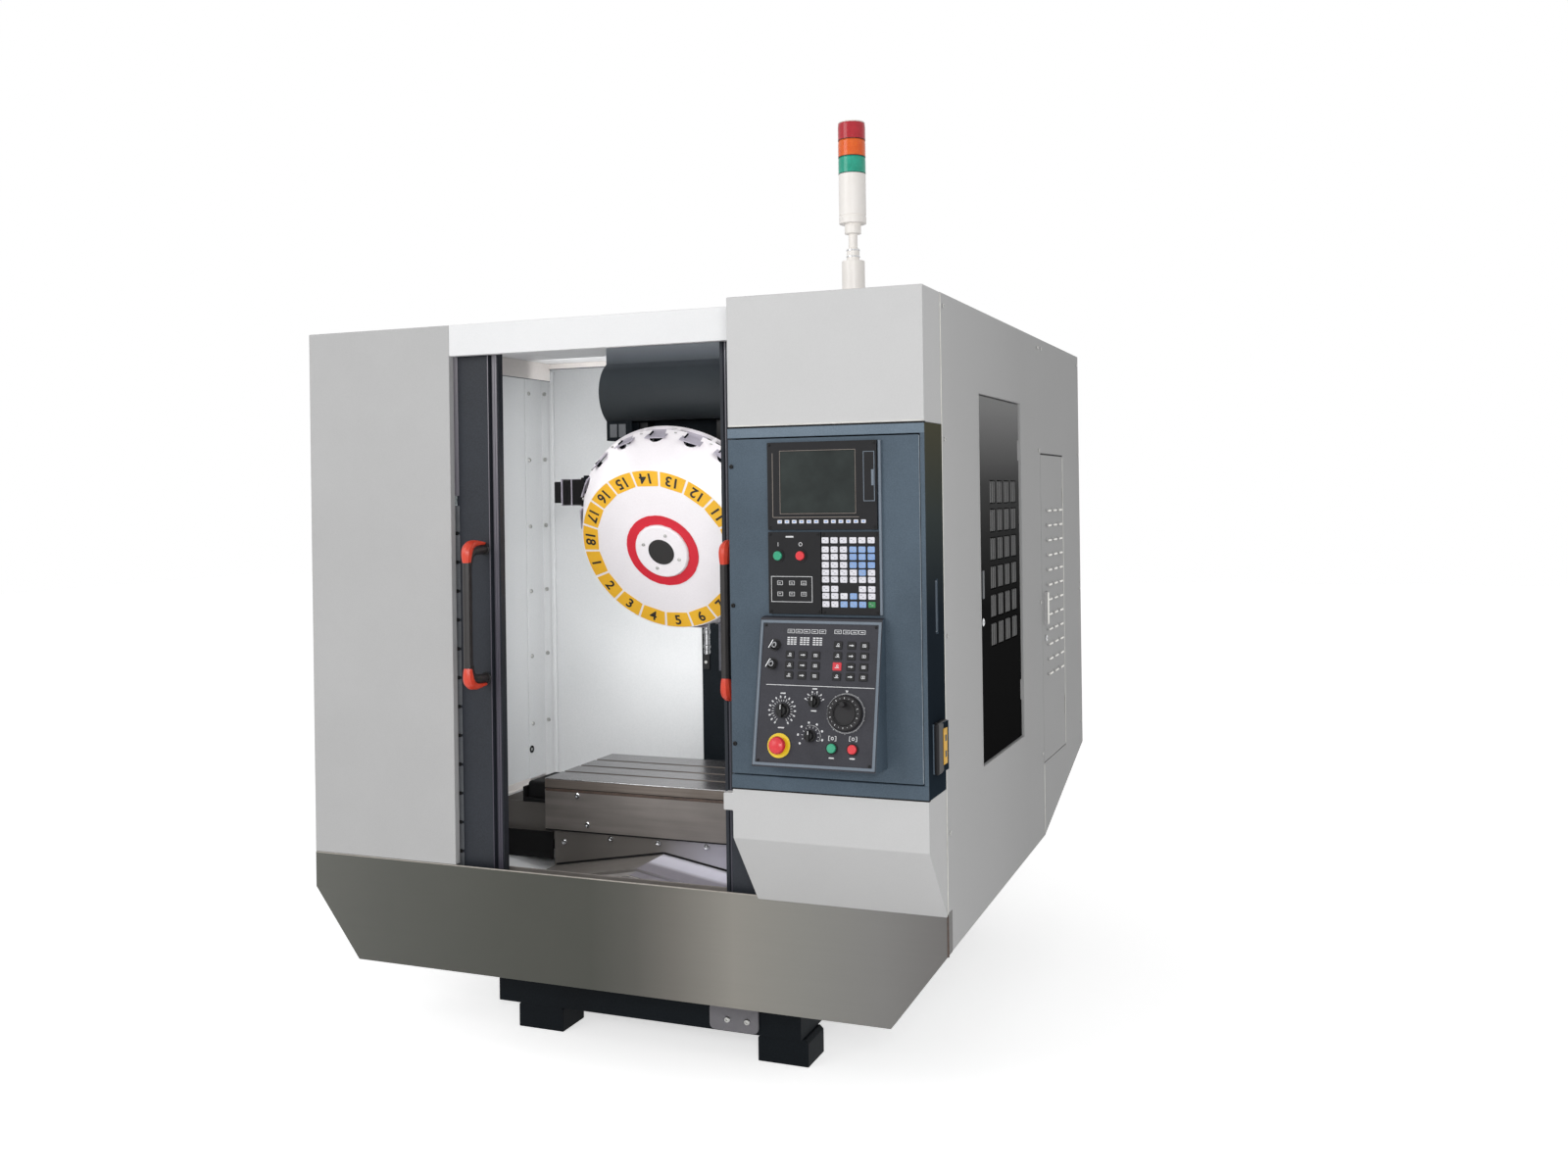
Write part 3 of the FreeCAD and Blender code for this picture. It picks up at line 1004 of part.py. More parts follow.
def console_cabinet():
    """Shallow cabinet behind the console door, with a side grip and a port box."""
    gap = DOOR_GAP
    shell = box(CONSOLE_LEFT, HALF_WIDTH, CONSOLE_FRONT, APRON_FRONT, CONSOLE_BOTTOM, CONSOLE_TOP)
    seat = CONSOLE_FRONT + CONSOLE_DOOR_THICKNESS + gap
    inside = box(CONSOLE_LEFT + CONSOLE_WALL, CONSOLE_DOOR_RIGHT + gap, CONSOLE_FRONT - 1, APRON_FRONT - 6,
                 CONSOLE_DOOR_BOTTOM - gap, CONSOLE_DOOR_TOP + gap)
    door_seat = box(CONSOLE_LEFT - 1, CONSOLE_LEFT + CONSOLE_WALL + 1, CONSOLE_FRONT - 1, seat,
                    CONSOLE_DOOR_BOTTOM - gap, CONSOLE_DOOR_TOP + gap)
    grip = box(HALF_WIDTH - 6, HALF_WIDTH + 1, CONSOLE_FRONT + 76, CONSOLE_FRONT + 96, 1194.0, 1324.0)
    port = prism_z([(HALF_WIDTH - 1, CONSOLE_FRONT + 36), (HALF_WIDTH + 12, CONSOLE_FRONT + 42),
                    (HALF_WIDTH + 16, CONSOLE_FRONT + 118), (HALF_WIDTH - 1, CONSOLE_FRONT + 124)],
                   868.0, 985.0)
    barrels = knuckles(CONSOLE_DOOR_LEFT + HINGE_INSET, CONSOLE_FRONT + CONSOLE_HINGE_DEPTH,
                       CONSOLE_DOOR_BOTTOM, CONSOLE_DOOR_TOP, Vec(0, 1, 0), CONSOLE_HINGE_DEPTH)
    return fused([shell.cut([inside, door_seat, grip]), port] + barrels)


def console_lower_box():
    """Lower box, bevelled back to the apron, with a small tab at its left."""
    body = prism_x([(APRON_FRONT, LOWER_BOX_BOTTOM), (CONSOLE_FRONT, LOWER_BOX_VERTICAL),
                    (CONSOLE_FRONT, CONSOLE_BOTTOM), (APRON_FRONT, CONSOLE_BOTTOM)],
                   CONSOLE_LEFT, HALF_WIDTH)
    tab = box(CONSOLE_LEFT - 25, CONSOLE_LEFT, CONSOLE_FRONT, CONSOLE_FRONT + 30,
              CONSOLE_BOTTOM - 55, CONSOLE_BOTTOM - 12)
    return fused([body, tab])


def console_door():
    """Door plate with cut-outs for the control units."""
    plate = box(CONSOLE_DOOR_LEFT, CONSOLE_DOOR_RIGHT, CONSOLE_FRONT, CONSOLE_FRONT + CONSOLE_DOOR_THICKNESS,
                CONSOLE_DOOR_BOTTOM, CONSOLE_DOOR_TOP)
    holes = []
    for x0, x1, z0, z1 in (DISPLAY, KEYBOARD, POWER_PANEL):
        holes.append(box(x0 + 9, x1 - 9, CONSOLE_FRONT - 1, CONSOLE_FRONT + CONSOLE_DOOR_THICKNESS + 1,
                         z0 + 9, z1 - 9))
    x = CONSOLE_DOOR_LEFT + HINGE_INSET
    y = CONSOLE_FRONT + CONSOLE_HINGE_DEPTH
    room = (x - HINGE_INSET - 1, x + HINGE_INSET, y - KNUCKLE_RADIUS - 2, y + CONSOLE_DOOR_THICKNESS)
    return hinged(plate.cut(holes), x, y, CONSOLE_DOOR_BOTTOM, CONSOLE_DOOR_TOP, room)


def control_unit(area):
    """Bezel on the door's face with the unit's body behind it."""
    x0, x1, z0, z1 = area
    bezel = box(x0, x1, CONSOLE_FRONT - UNIT_PROUD, CONSOLE_FRONT, z0, z1)
    body = box(x0 + 10, x1 - 10, CONSOLE_FRONT, CONSOLE_FRONT + UNIT_BODY_DEPTH, z0 + 10, z1 - 10)
    return fused([bezel, body])


def control_units():
    """Display, keyboard and power panel."""
    face = CONSOLE_FRONT - UNIT_PROUD
    x0, x1, z0, z1 = SCREEN
    screen = box(x0, x1, face - 1, face + 1.5, z0, z1)
    display = control_unit(DISPLAY).cut(screen)
    card_door = box(x1 + 22, x1 + 49, face - 1.5, face, z0 + 28, z1 - 5)
    bores = []
    for x in (POWER_ON_X, POWER_OFF_X):
        bores.append(rod(BUTTON_RADIUS + RUN_GAP, Vec(x, face - 1, POWER_BUTTON_Z),
                         Vec(x, face + BUTTON_DEPTH + BUTTON_TRAVEL + 1, POWER_BUTTON_Z)))
    power = control_unit(POWER_PANEL).cut(bores)
    return [fused([display, card_door]), control_unit(KEYBOARD), power]


def push_button(proud, depth, radius):
    """Button lying on XY with its bevelled cap up."""
    return turned([(0, -depth), (radius, -depth), (radius, proud - 1.5), (radius - 1.5, proud), (0, proud)])


def power_on():
    """Green power button."""
    return facing_front(push_button(BUTTON_PROUD, BUTTON_DEPTH, BUTTON_RADIUS),
                        Vec(POWER_ON_X, CONSOLE_FRONT - UNIT_PROUD, POWER_BUTTON_Z))


def power_off():
    """Red power button."""
    return facing_front(push_button(BUTTON_PROUD, BUTTON_DEPTH, BUTTON_RADIUS),
                        Vec(POWER_OFF_X, CONSOLE_FRONT - UNIT_PROUD, POWER_BUTTON_Z))


def on_operator(shape, at):
    """Seat a shape on the tilted operator face at (across, up)."""
    moved = shape.translated(Vec(at[0], at[1], 0))
    return facing_front(moved, OPERATOR_ORIGIN, OPERATOR_LEAN)


def operator_box():
    """Wedge-shaped box with a raised rim, bored for its controls."""
    body = prism_x([(CONSOLE_FRONT, OPERATOR_BOTTOM - 6), (CONSOLE_FRONT - OPERATOR_PROUD_BOTTOM, OPERATOR_BOTTOM),
                    (CONSOLE_FRONT - OPERATOR_PROUD_TOP, OPERATOR_TOP), (CONSOLE_FRONT, OPERATOR_TOP + 3)],
                   OPERATOR_LEFT, OPERATOR_RIGHT)
    hole_depth = KNOB_SHAFT_LENGTH + 2
    cutters = []
    for at in (FEED_KNOB_AT, RAPID_KNOB_AT, MODE_KNOB_AT, HANDWHEEL_AT, KEY_A_AT, KEY_B_AT):
        hole = rod(SHAFT_HOLE_RADIUS, Vec(0, 0, -hole_depth), Vec(0, 0, 5))
        cutters.append(on_operator(hole, at))
    for at in (STOP_AT, CYCLE_START_AT, FEED_HOLD_AT):
        bore = rod(BUTTON_RADIUS + RUN_GAP, Vec(0, 0, -BUTTON_DEPTH - STOP_TRAVEL - 1), Vec(0, 0, 5))
        cutters.append(on_operator(bore, at))
    ring = turned([(BUTTON_RADIUS + RUN_GAP, 0), (29, 0), (29, 3), (BUTTON_RADIUS + RUN_GAP, 3)])
    stop_ring = on_operator(ring, STOP_AT)
    return [body.cut(cutters), stop_ring]


def knob(radius, height):
    """Skirted knob with a grip bar and a short shaft."""
    skirt = turned([(0, RUN_GAP), (radius, RUN_GAP), (radius, 5), (radius * 0.78, 7), (radius * 0.7, height - 2),
                    (radius * 0.6, height), (0, height)])
    grip = box(-radius * 0.18, radius * 0.18, -radius * 0.95, radius * 0.95, 4, height + 4)
    shaft = rod(KNOB_SHAFT_RADIUS, Vec(0, 0, -KNOB_SHAFT_LENGTH), Vec(0, 0, 3))
    return fused([skirt, grip, shaft])


def feed_knob():
    """Feed rate knob."""
    return on_operator(knob(17, 15), FEED_KNOB_AT)


def rapid_knob():
    """Rapid rate knob."""
    return on_operator(knob(14, 15), RAPID_KNOB_AT)


def mode_knob():
    """Mode knob."""
    return on_operator(knob(14, 15), MODE_KNOB_AT)


def handwheel():
    """Pulse handwheel with a dished rim and a crank peg."""
    wheel = turned([(0, RUN_GAP), (38, RUN_GAP), (42, 4), (42, 12), (39, 16), (30, 16), (27, 11), (0, 11)])
    peg = turned([(0, 9), (5, 9), (7, 24), (6, 34), (0, 35)]).translated(Vec(0, 19, 0))
    shaft = rod(KNOB_SHAFT_RADIUS, Vec(0, 0, -KNOB_SHAFT_LENGTH), Vec(0, 0, 5))
    return on_operator(fused([wheel, peg, shaft]), HANDWHEEL_AT)


def stop_button():
    """Mushroom stop button."""
    stem_top = STOP_TRAVEL + 4
    shape = turned([(0, -BUTTON_DEPTH), (BUTTON_RADIUS, -BUTTON_DEPTH), (BUTTON_RADIUS, stem_top),
                    (20, stem_top), (21, stem_top + 5), (18, stem_top + 13), (10, stem_top + 17),
                    (0, stem_top + 18)])
    return on_operator(shape, STOP_AT)


def cycle_start():
    """Green cycle start button."""
    return on_operator(push_button(BUTTON_PROUD, BUTTON_DEPTH, BUTTON_RADIUS), CYCLE_START_AT)


def feed_hold():
    """Red feed hold button."""
    return on_operator(push_button(BUTTON_PROUD, BUTTON_DEPTH, BUTTON_RADIUS), FEED_HOLD_AT)


def key_switch():
    """Lock barrel with its key bow, lying on XY."""
    barrel = turned([(0, RUN_GAP), (11, RUN_GAP), (11, 3), (8, 6), (8, 11), (0, 11)])
    bow = box(-1.2, 1.2, -11, 11, 10, 27)
    shaft = rod(KNOB_SHAFT_RADIUS, Vec(0, 0, -KNOB_SHAFT_LENGTH), Vec(0, 0, 2))
    return fused([barrel, bow, shaft])


def key_switch_a():
    """Upper key switch."""
    return on_operator(key_switch(), KEY_A_AT)


def key_switch_b():
    """Lower key switch."""
    return on_operator(key_switch(), KEY_B_AT)


# ---------------------------------------------------------------- side doors
def side_hinged(door, face, rear, bottom, top):
    """Side door with the pins near its rear outer edge."""
    x = face - HINGE_INSET
    y = rear - DOOR_GAP - HINGE_INSET
    room = (face - SIDE_DOOR_SHEET - 1, face + 1, y - HINGE_INSET, y + HINGE_INSET + 1)
    return hinged(door, x, y, bottom, top, room)


def side_door():
    """Dark recessed side door with a grid of vent slots and a pull."""
    front, rear, bottom, top = SIDE_DOOR
    gap = DOOR_GAP
    face = HALF_WIDTH - SIDE_DOOR_RECESS
    door = box(face - SIDE_DOOR_SHEET, face, front + gap, rear - gap, bottom + gap, top - gap)
    slots = []
    for row in range(6):
        for column in range(4):
            y = front + 137 + column * 86
            z = top - 263 - row * 79
            slots.append(box(face - 20, face + 1, y, y + 70, z - 33, z + 33))
    pull = prism_z([(face - 1, front + 22), (face + 5, front + 26), (face + 5, front + 44), (face - 1, front + 48)],
                   1237.0, 1325.0)
    door = fused([door.cut(slots), pull])
    return side_hinged(door, face, rear, bottom, top)


def cabinet_door():
    """Flush rear door with pressed louvres and a lift latch."""
    front, rear, bottom, top = CABINET_DOOR
    gap = DOOR_GAP
    face = HALF_WIDTH
    door = box(face - SIDE_DOOR_SHEET, face, front + gap, rear - gap, bottom + gap, top - gap)
    louvres = []
    for row in range(12):
        for column in range(3):
            y = front + 72 + column * 92
            z = top - 180 - row * 48
            louvres.append(prism([Vec(face - 1, y, z + 9), Vec(face + 6, y, z - 5), Vec(face - 1, y, z - 5)],
                                 Vec(0, 80, 0)))
    latch = prism_z([(face - 1, front + 34), (face + 10, front + 38), (face + 10, front + 58), (face - 1, front + 62)],
                    1102.0, 1208.0)
    return side_hinged(fused([door, latch] + louvres), face, rear, bottom, top)


# ---------------------------------------------------------------- signal tower
def tower_stand():
    """Base, pole, collars, white lamp body and cap, as two turned pieces."""
    r = TOWER_RADIUS
    lamps = TOWER_TOP - 3 - LENS_HEIGHT * 3
    stand = turned([(0, ROOF_TOP), (28, ROOF_TOP), (28, lamps - 211), (15.5, lamps - 209), (15.5, lamps - 181),
                    (11, lamps - 179), (11, lamps - 146), (20, lamps - 144), (20, lamps - 120), (r, lamps - 120),
                    (r, lamps - 104), (r - 2, lamps - 103), (r - 2, lamps - 101), (r, lamps - 100),
                    (r, lamps), (0, lamps)], Vec(TOWER_X, TOWER_Y, 0))
    cap = turned([(0, TOWER_TOP - 3), (r, TOWER_TOP - 3), (r - 1, TOWER_TOP), (0, TOWER_TOP)],
                 Vec(TOWER_X, TOWER_Y, 0))
    return [stand, cap]


def tower_lenses():
    """Green, amber and red lens, from the bottom."""
    first = TOWER_TOP - 3 - LENS_HEIGHT * 3
    lenses = []
    for index in range(3):
        low = first + index * LENS_HEIGHT
        high = low + LENS_HEIGHT
        r = TOWER_RADIUS
        lenses.append(turned([(0, low), (r, low), (r, high - 3), (r - 1, high - 2), (r - 1, high), (0, high)],
                             Vec(TOWER_X, TOWER_Y, 0)))
    return lenses


# ---------------------------------------------------------------- write every piece
PIECES = [
    base_casting, levelling_feet, column_casting, guide_rails, axis_motors, y_ball_screw, z_ball_screw,
    front_apron, left_panel, right_side_panel, right_rear_panel, rear_panel, roof_panel, chamber_walls,
    chip_pan, door_tracks, way_cover_front, way_cover_inner, way_cover_middle, saddle_casting, saddle_cover,
    x_axis_motor, x_ball_screw, work_table, table_skirt, head_casting, spindle_motor, head_cover,
    spindle_shaft, turret_arm, turret_motor, turret_cone, tool_grippers, number_plates, turret_hub,
    console_top_box, console_cabinet, console_lower_box, console_door, control_units, operator_box,
    power_on, power_off, feed_knob, rapid_knob, mode_knob, handwheel, stop_button, cycle_start, feed_hold,
    key_switch_a, key_switch_b, side_door, cabinet_door, tower_stand, tower_lenses,
]


def save(name, shape):
    """Write one piece, or a group of separate solids, under its own name."""
    if isinstance(shape, list):
        shape = Part.makeCompound(shape)
    shape.exportStep("parts/" + name + ".step")


def main():
    os.makedirs("parts", exist_ok=True)
    for piece in PIECES:
        save(piece.__name__, piece())
    doors = {"left_door": (DOOR_LEFT_EDGE, -1), "right_door": (DOOR_RIGHT_EDGE, 1)}
    for name, (lead, away) in doors.items():
        save(name + "_leaf", door_leaf(lead, away))
        save(name + "_handle", door_handle(lead, away))


main()
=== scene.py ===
"""Looks of a compact drilling and tapping centre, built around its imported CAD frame.

+Z up, +X to the operator's right, the operator stands at -Y. Shapes are given in millimetres, lights, the camera
and tests of mesh vertices in metres.
"""
import json
import math

import bpy
from mathutils import Matrix, Vector

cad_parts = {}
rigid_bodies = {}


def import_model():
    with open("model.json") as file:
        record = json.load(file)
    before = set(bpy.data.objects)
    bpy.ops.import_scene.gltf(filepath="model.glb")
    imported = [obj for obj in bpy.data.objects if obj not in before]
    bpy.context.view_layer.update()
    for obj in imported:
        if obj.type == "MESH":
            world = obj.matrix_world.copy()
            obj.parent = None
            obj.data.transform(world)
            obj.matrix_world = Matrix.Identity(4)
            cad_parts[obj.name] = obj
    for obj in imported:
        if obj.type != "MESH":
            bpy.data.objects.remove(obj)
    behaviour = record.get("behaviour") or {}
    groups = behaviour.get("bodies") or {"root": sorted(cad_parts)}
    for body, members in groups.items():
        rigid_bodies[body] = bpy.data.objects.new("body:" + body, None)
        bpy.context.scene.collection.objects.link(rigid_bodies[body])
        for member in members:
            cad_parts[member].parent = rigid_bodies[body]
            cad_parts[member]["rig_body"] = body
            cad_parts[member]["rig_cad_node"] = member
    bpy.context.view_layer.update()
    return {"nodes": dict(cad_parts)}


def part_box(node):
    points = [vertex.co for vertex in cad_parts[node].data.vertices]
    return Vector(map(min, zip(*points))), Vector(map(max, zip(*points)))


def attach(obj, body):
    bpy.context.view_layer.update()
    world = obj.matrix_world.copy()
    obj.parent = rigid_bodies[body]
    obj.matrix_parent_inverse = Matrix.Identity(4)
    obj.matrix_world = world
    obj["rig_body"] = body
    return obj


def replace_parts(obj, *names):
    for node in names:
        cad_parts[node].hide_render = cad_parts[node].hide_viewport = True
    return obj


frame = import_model()
NODES = frame["nodes"]
MM = 0.001

# ---------------------------------------------------------------- places of the machine, as the CAD has them
CENTRE_X, HALF_WIDTH = -2, 950
FRONT, REAR, ROOF = -785, 1065, 2016
DOOR_FRONT = -757
CONSOLE_FRONT = -935
UNIT_FACE = CONSOLE_FRONT - 8
CAB_LEFT, CAB_RIGHT = 450, 950
TILT = math.radians(25)
OPERATOR_LEAN = math.atan2(70, 346)
POCKETS = 18
# for each way that a panel can face: where its +X and +Y run, and the axis that it stands on
WAYS = {"front": ((1, 0, 0), (0, 0, 1), 1), "right": ((0, 1, 0), (0, 0, 1), 0), "left": ((0, -1, 0), (0, 0, 1), 0),
        "back": ((-1, 0, 0), (0, 0, 1), 1), "up": ((1, 0, 0), (0, 1, 0), 2)}


def plane_at(origin, right, up):
    """Place of a flat panel: +X runs right, +Y runs up, and +Z points out of it."""
    right, up = Vector(right), Vector(up)
    turn = Matrix((right, up, right.cross(up))).transposed().to_4x4()
    return Matrix.Translation([c * MM for c in origin]) @ turn


def facing(way, distance):
    """Place of a panel that faces this way, at a distance along its axis."""
    right, up, axis = WAYS[way]
    return plane_at([distance if i == axis else 0 for i in range(3)], right, up)


UNITS = facing("front", UNIT_FACE)
OPERATOR = plane_at((695, -1025, 888), (1, 0, 0), (0, math.sin(OPERATOR_LEAN), math.cos(OPERATOR_LEAN)))
TURRET = plane_at((CENTRE_X, -399.234, 1372.383), (1, 0, 0), (0, -math.sin(TILT), math.cos(TILT)))
RIGHT_SIDE = facing("right", HALF_WIDTH)
FLAT = facing("up", 0)


# ---------------------------------------------------------------- materials
def linear(hex_colour):
    """Linear colour of an sRGB hex value."""
    parts = [int(hex_colour[i:i + 2], 16) / 255 for i in (1, 3, 5)]
    return [p / 12.92 if p <= 0.04045 else ((p + 0.055) / 1.055) ** 2.4 for p in parts] + [1.0]


def add(material, kind, inputs=None, **settings):
    """Add one node with its settings, and its input values or links by name or place."""
    node = material.node_tree.nodes.new("ShaderNode" + kind)
    for name, value in settings.items():
        setattr(node, name, value)
    for name, value in (inputs or {}).items():
        if isinstance(value, bpy.types.NodeSocket):
            material.node_tree.links.new(value, node.inputs[name])
        else:
            node.inputs[name].default_value = value
    return node


def start(name, **shader_values):
    """New material with object coordinates and a shader; returns it, the coordinates and the shader."""
    material = bpy.data.materials.new(name)
    material.use_nodes = True
    shader = material.node_tree.nodes["Principled BSDF"]
    for socket, value in shader_values.items():
        shader.inputs[socket.replace("_", " ")].default_value = value
    where = add(material, "TexCoord").outputs["Object"]
    return material, where, shader


def wire(material, socket, target):
    material.node_tree.links.new(socket, target)


def tones(material, factor, stops):
    """Colour ramp through (position, hex colour) stops."""
    ramp = add(material, "ValToRGB", {"Fac": factor})
    elements = ramp.color_ramp.elements
    while len(elements) < len(stops):
        elements.new(0.5)
    for element, (position, colour) in zip(elements, stops):
        element.position = position
        element.color = linear(colour)
    return ramp.outputs["Color"]


def finish(material, where, shader, colour, fade, amount, sheen, satin, height, strength, relief):
    """Wire a coat's colour, its sheen and its relief into the shader.

    fade is (axis, start, end, stops) or nothing: the colour turns to the stops' colours along an axis.
    satin is the least and most roughness, spread by the noise of sheen; height is the noise of the relief.
    """
    if fade:
        axis, first, last, stops = fade
        parts = add(material, "SeparateXYZ", {"Vector": where})
        along = add(material, "MapRange", {"Value": parts.outputs[axis], "From Min": first, "From Max": last})
        shade = tones(material, along.outputs["Result"], stops)
        colour = add(material, "MixRGB", {"Fac": amount, "Color1": colour, "Color2": shade}).outputs["Color"]
    wire(material, colour, shader.inputs["Base Color"])
    rough = add(material, "MapRange", {"Value": sheen.outputs["Fac"], "To Min": satin[0], "To Max": satin[1]})
    wire(material, rough.outputs["Result"], shader.inputs["Roughness"])
    bump = add(material, "Bump", {"Height": height.outputs["Fac"], "Strength": strength, "Distance": relief})
    wire(material, bump.outputs["Normal"], shader.inputs["Normal"])
    return material


def coated(name, low, high, roughness, grain, relief, cloud=3.0, fade=None, shine=0.5, **shader_values):
    """Powder coat or paint on metal: cloudy tone, fine grain and a satin that varies.

    low and high are the hex colours it varies between, grain the size of its texture in metres, and shine how
    much it mirrors.
    """
    material, where, shader = start(name, Specular_IOR_Level=shine, **shader_values)
    clouds = add(material, "TexNoise", {"Vector": where, "Scale": cloud, "Detail": 5.0, "Roughness": 0.6})
    specks = add(material, "TexNoise", {"Vector": where, "Scale": 1 / grain, "Detail": 2.0})
    blend = add(material, "Mix", {"Factor": 0.4, "A": clouds.outputs["Fac"], "B": specks.outputs["Fac"]})
    colour = tones(material, blend.outputs["Result"], ((0.32, low), (0.68, high)))
    satin = (roughness - 0.06, roughness + 0.06)
    return finish(material, where, shader, colour, fade, 0.75, clouds, satin, specks, 0.35, relief)


def brushed(name, low, high, roughness, stretch, relief=0.0001, fade=None, metallic=1.0):
    """Rolled, ground or brushed metal: streaks along one direction over a cloudy tone.

    stretch scales the coordinates, so its smallest number is the direction of the streaks.
    """
    material, where, shader = start(name, Metallic=metallic)
    along = add(material, "Mapping", {"Vector": where, "Scale": stretch})
    streaks = add(material, "TexNoise", {"Vector": along.outputs["Vector"], "Scale": 1.0, "Detail": 4.0})
    clouds = add(material, "TexNoise", {"Vector": where, "Scale": 5.0, "Detail": 4.0})
    blend = add(material, "Mix", {"Factor": 0.5, "A": streaks.outputs["Fac"], "B": clouds.outputs["Fac"]})
    colour = tones(material, blend.outputs["Result"], ((0.33, low), (0.67, high)))
    satin = (roughness - 0.08, roughness + 0.1)
    return finish(material, where, shader, colour, fade, 0.85, streaks, satin, streaks, 0.3, relief)


def moulded(name, low, high, roughness, texture=0.002, **shader_values):
    """Injection-moulded plastic with a faint mould texture."""
    return coated(name, low, high, roughness, texture, 0.00005, cloud=18.0, **shader_values)


# satin powder coat on folded steel: an even soft sheen, faint orange peel; peel is drawn 3 mm wide to show
LIGHT_GREY = coated("powder_coat_light_grey", "#C1C1C1", "#C8C8C8", 0.5, 0.003, 0.00012, shine=0.2)
# the same coat on the long right side, with painted shade that darkens it towards the rear as the light falls off
SIDE_GREY_PAINTED_FALLOFF = coated("powder_coat_grey_painted_falloff", "#C1C1C1", "#C8C8C8", 0.5, 0.003, 0.00012,
                   fade=("Y", -0.785, 1.065, ((0.0, "#CBCBCB"), (0.25, "#C0C0C0"), (0.5, "#B0B0B0"), (1.0, "#A9A9A9"))),
                   shine=0.2)
# a paler coat on the console boxes, and the whitest one on the roof, whose front lip melts into the background
BOX_GREY = coated("powder_coat_pale_grey", "#CECECE", "#D4D4D4", 0.48, 0.003, 0.00012)
WHITE_COAT = coated("powder_coat_white", "#F2F3F4", "#FAFAFB", 0.45, 0.003, 0.0001)
# smooth enamel of the chamber, cool on its walls; sheets that turn to the light get a warmer copy, a painted warm light
LINING = coated("enamel_chamber_white", "#D8DADB", "#E2E3E4", 0.38, 0.006, 0.0001, cloud=2.2)
LINING_WARM = coated("enamel_chamber_painted_warm_light", "#DAD4D0", "#E6E1DD", 0.4, 0.006, 0.0001, cloud=2.2)
# coarse-texture powder coat: light catches its grain as fine specks
BLUE_GREY = coated("texture_coat_blue_grey", "#3F4D59", "#576775", 0.55, 0.0032, 0.0006, shine=0.35)
# a paler copy of the same coat for the console's upper band: painted light that the band catches
BAND_GREY_LIT = coated("texture_coat_blue_grey_painted_light", "#5B6B79", "#7A8A98", 0.55, 0.0032, 0.0006, shine=0.35)
# the console's narrow side: painted shade, with a painted reflection of the dark room, olive at the top and near black
# from halfway down
SIDE_SHADE_COAT = coated("texture_coat_painted_side_shade", "#262E36", "#343D46", 0.5, 0.0032, 0.0006,
                   fade=("Z", 0.8, 1.7, ((0.0, "#2B3640"), (0.2, "#1E262E"), (0.5, "#2A3138"), (0.75, "#4D5350"),
                                         (1.0, "#66634F"))), shine=0.0)
# door leaves: near black with a blue cast; the leading edges carry a painted violet-grey highlight that pales towards
# the top
DOOR_DARK = coated("texture_coat_dark_slate", "#1E2127", "#2F333B", 0.5, 0.0032, 0.0006, shine=0.3)
EDGE_VIOLET_HIGHLIGHT = coated("texture_coat_painted_edge_highlight", "#57535F", "#7B7782", 0.45, 0.004, 0.0004,
                     fade=("Z", 0.48, 1.95, ((0.0, "#3A3844"), (0.45, "#57545F"), (0.7, "#7E7B83"), (1.0, "#A5A2A8"))),
                     shine=0.4)
SEAL_DARK = coated("texture_coat_blue_seal", "#181C22", "#2A2F38", 0.5, 0.003, 0.0006, shine=0.3)
# dull grey plastic of slats and louvres
SLAT_GREY = moulded("polyurethane_slat_grey", "#55585C", "#6B6E72", 0.55)
# rounded head cover: graphite that pales to the top, where the roof's light falls on it
COVER_DARK = coated("enamel_graphite", "#2B2E31", "#3E4144", 0.55, 0.0035, 0.0006,
                    fade=("Z", 1.76, 2.01, ((0.0, "#24292C"), (0.35, "#30363A"), (0.62, "#484F55"), (0.8, "#8F969E"),
                                            (1.0, "#C0C6CD"))), shine=0.3)
# gloss enamel on the vented door: a painted reflection, grey at its top, fades to black lower down
SIDE_DARK = coated("gloss_enamel_black_painted_reflection", "#101011", "#1B1B1C", 0.4, 0.004, 0.0001,
                   fade=("Z", 0.80, 1.80, ((0.0, "#1E1E1E"), (0.42, "#242424"), (0.6, "#464646"), (0.75, "#626262"),
                                           (0.88, "#969696"), (1.0, "#BABABA"))), shine=0.0)
# slats of the vent, a shade paler than the door round them
SLAT_DARK = coated("enamel_slat_grey", "#343434", "#4A4A4A", 0.4, 0.004, 0.0001, shine=0.2)
# thick dark paint on rough castings, and smoother paint on motors
CAST_PAINT = coated("machine_paint_on_casting", "#0B0F13", "#171D22", 0.6, 0.005, 0.0009, shine=0.1)
MOTOR_BLACK = coated("motor_paint_black", "#0B0B0C", "#171719", 0.4, 0.003, 0.0002, shine=0.3)
# turret: glossy white enamel, with lilac grey as painted shade in the notches, and dull grippers behind it
TURRET_WHITE = coated("gloss_enamel_white", "#F0EBEE", "#F8F4F7", 0.35, 0.005, 0.00004)
NOTCH_GREY = coated("lilac_grey_notch_shade_and_straps", "#A9A4B0", "#BDB8C4", 0.4, 0.005, 0.00005)
GRIPPER_GREY = coated("phosphated_steel_grey", "#6D6B70", "#8B898E", 0.45, 0.002, 0.0001)
# number plates and red band, satin so that they keep their colour in the light
PLATE_YELLOW = coated("anodised_plate_yellow", "#F0B328", "#F8C138", 0.45, 0.003, 0.00003, shine=0.3)
RING_RED = coated("enamel_red", "#CC1E30", "#D92A3B", 0.45, 0.003, 0.00003, shine=0.3)
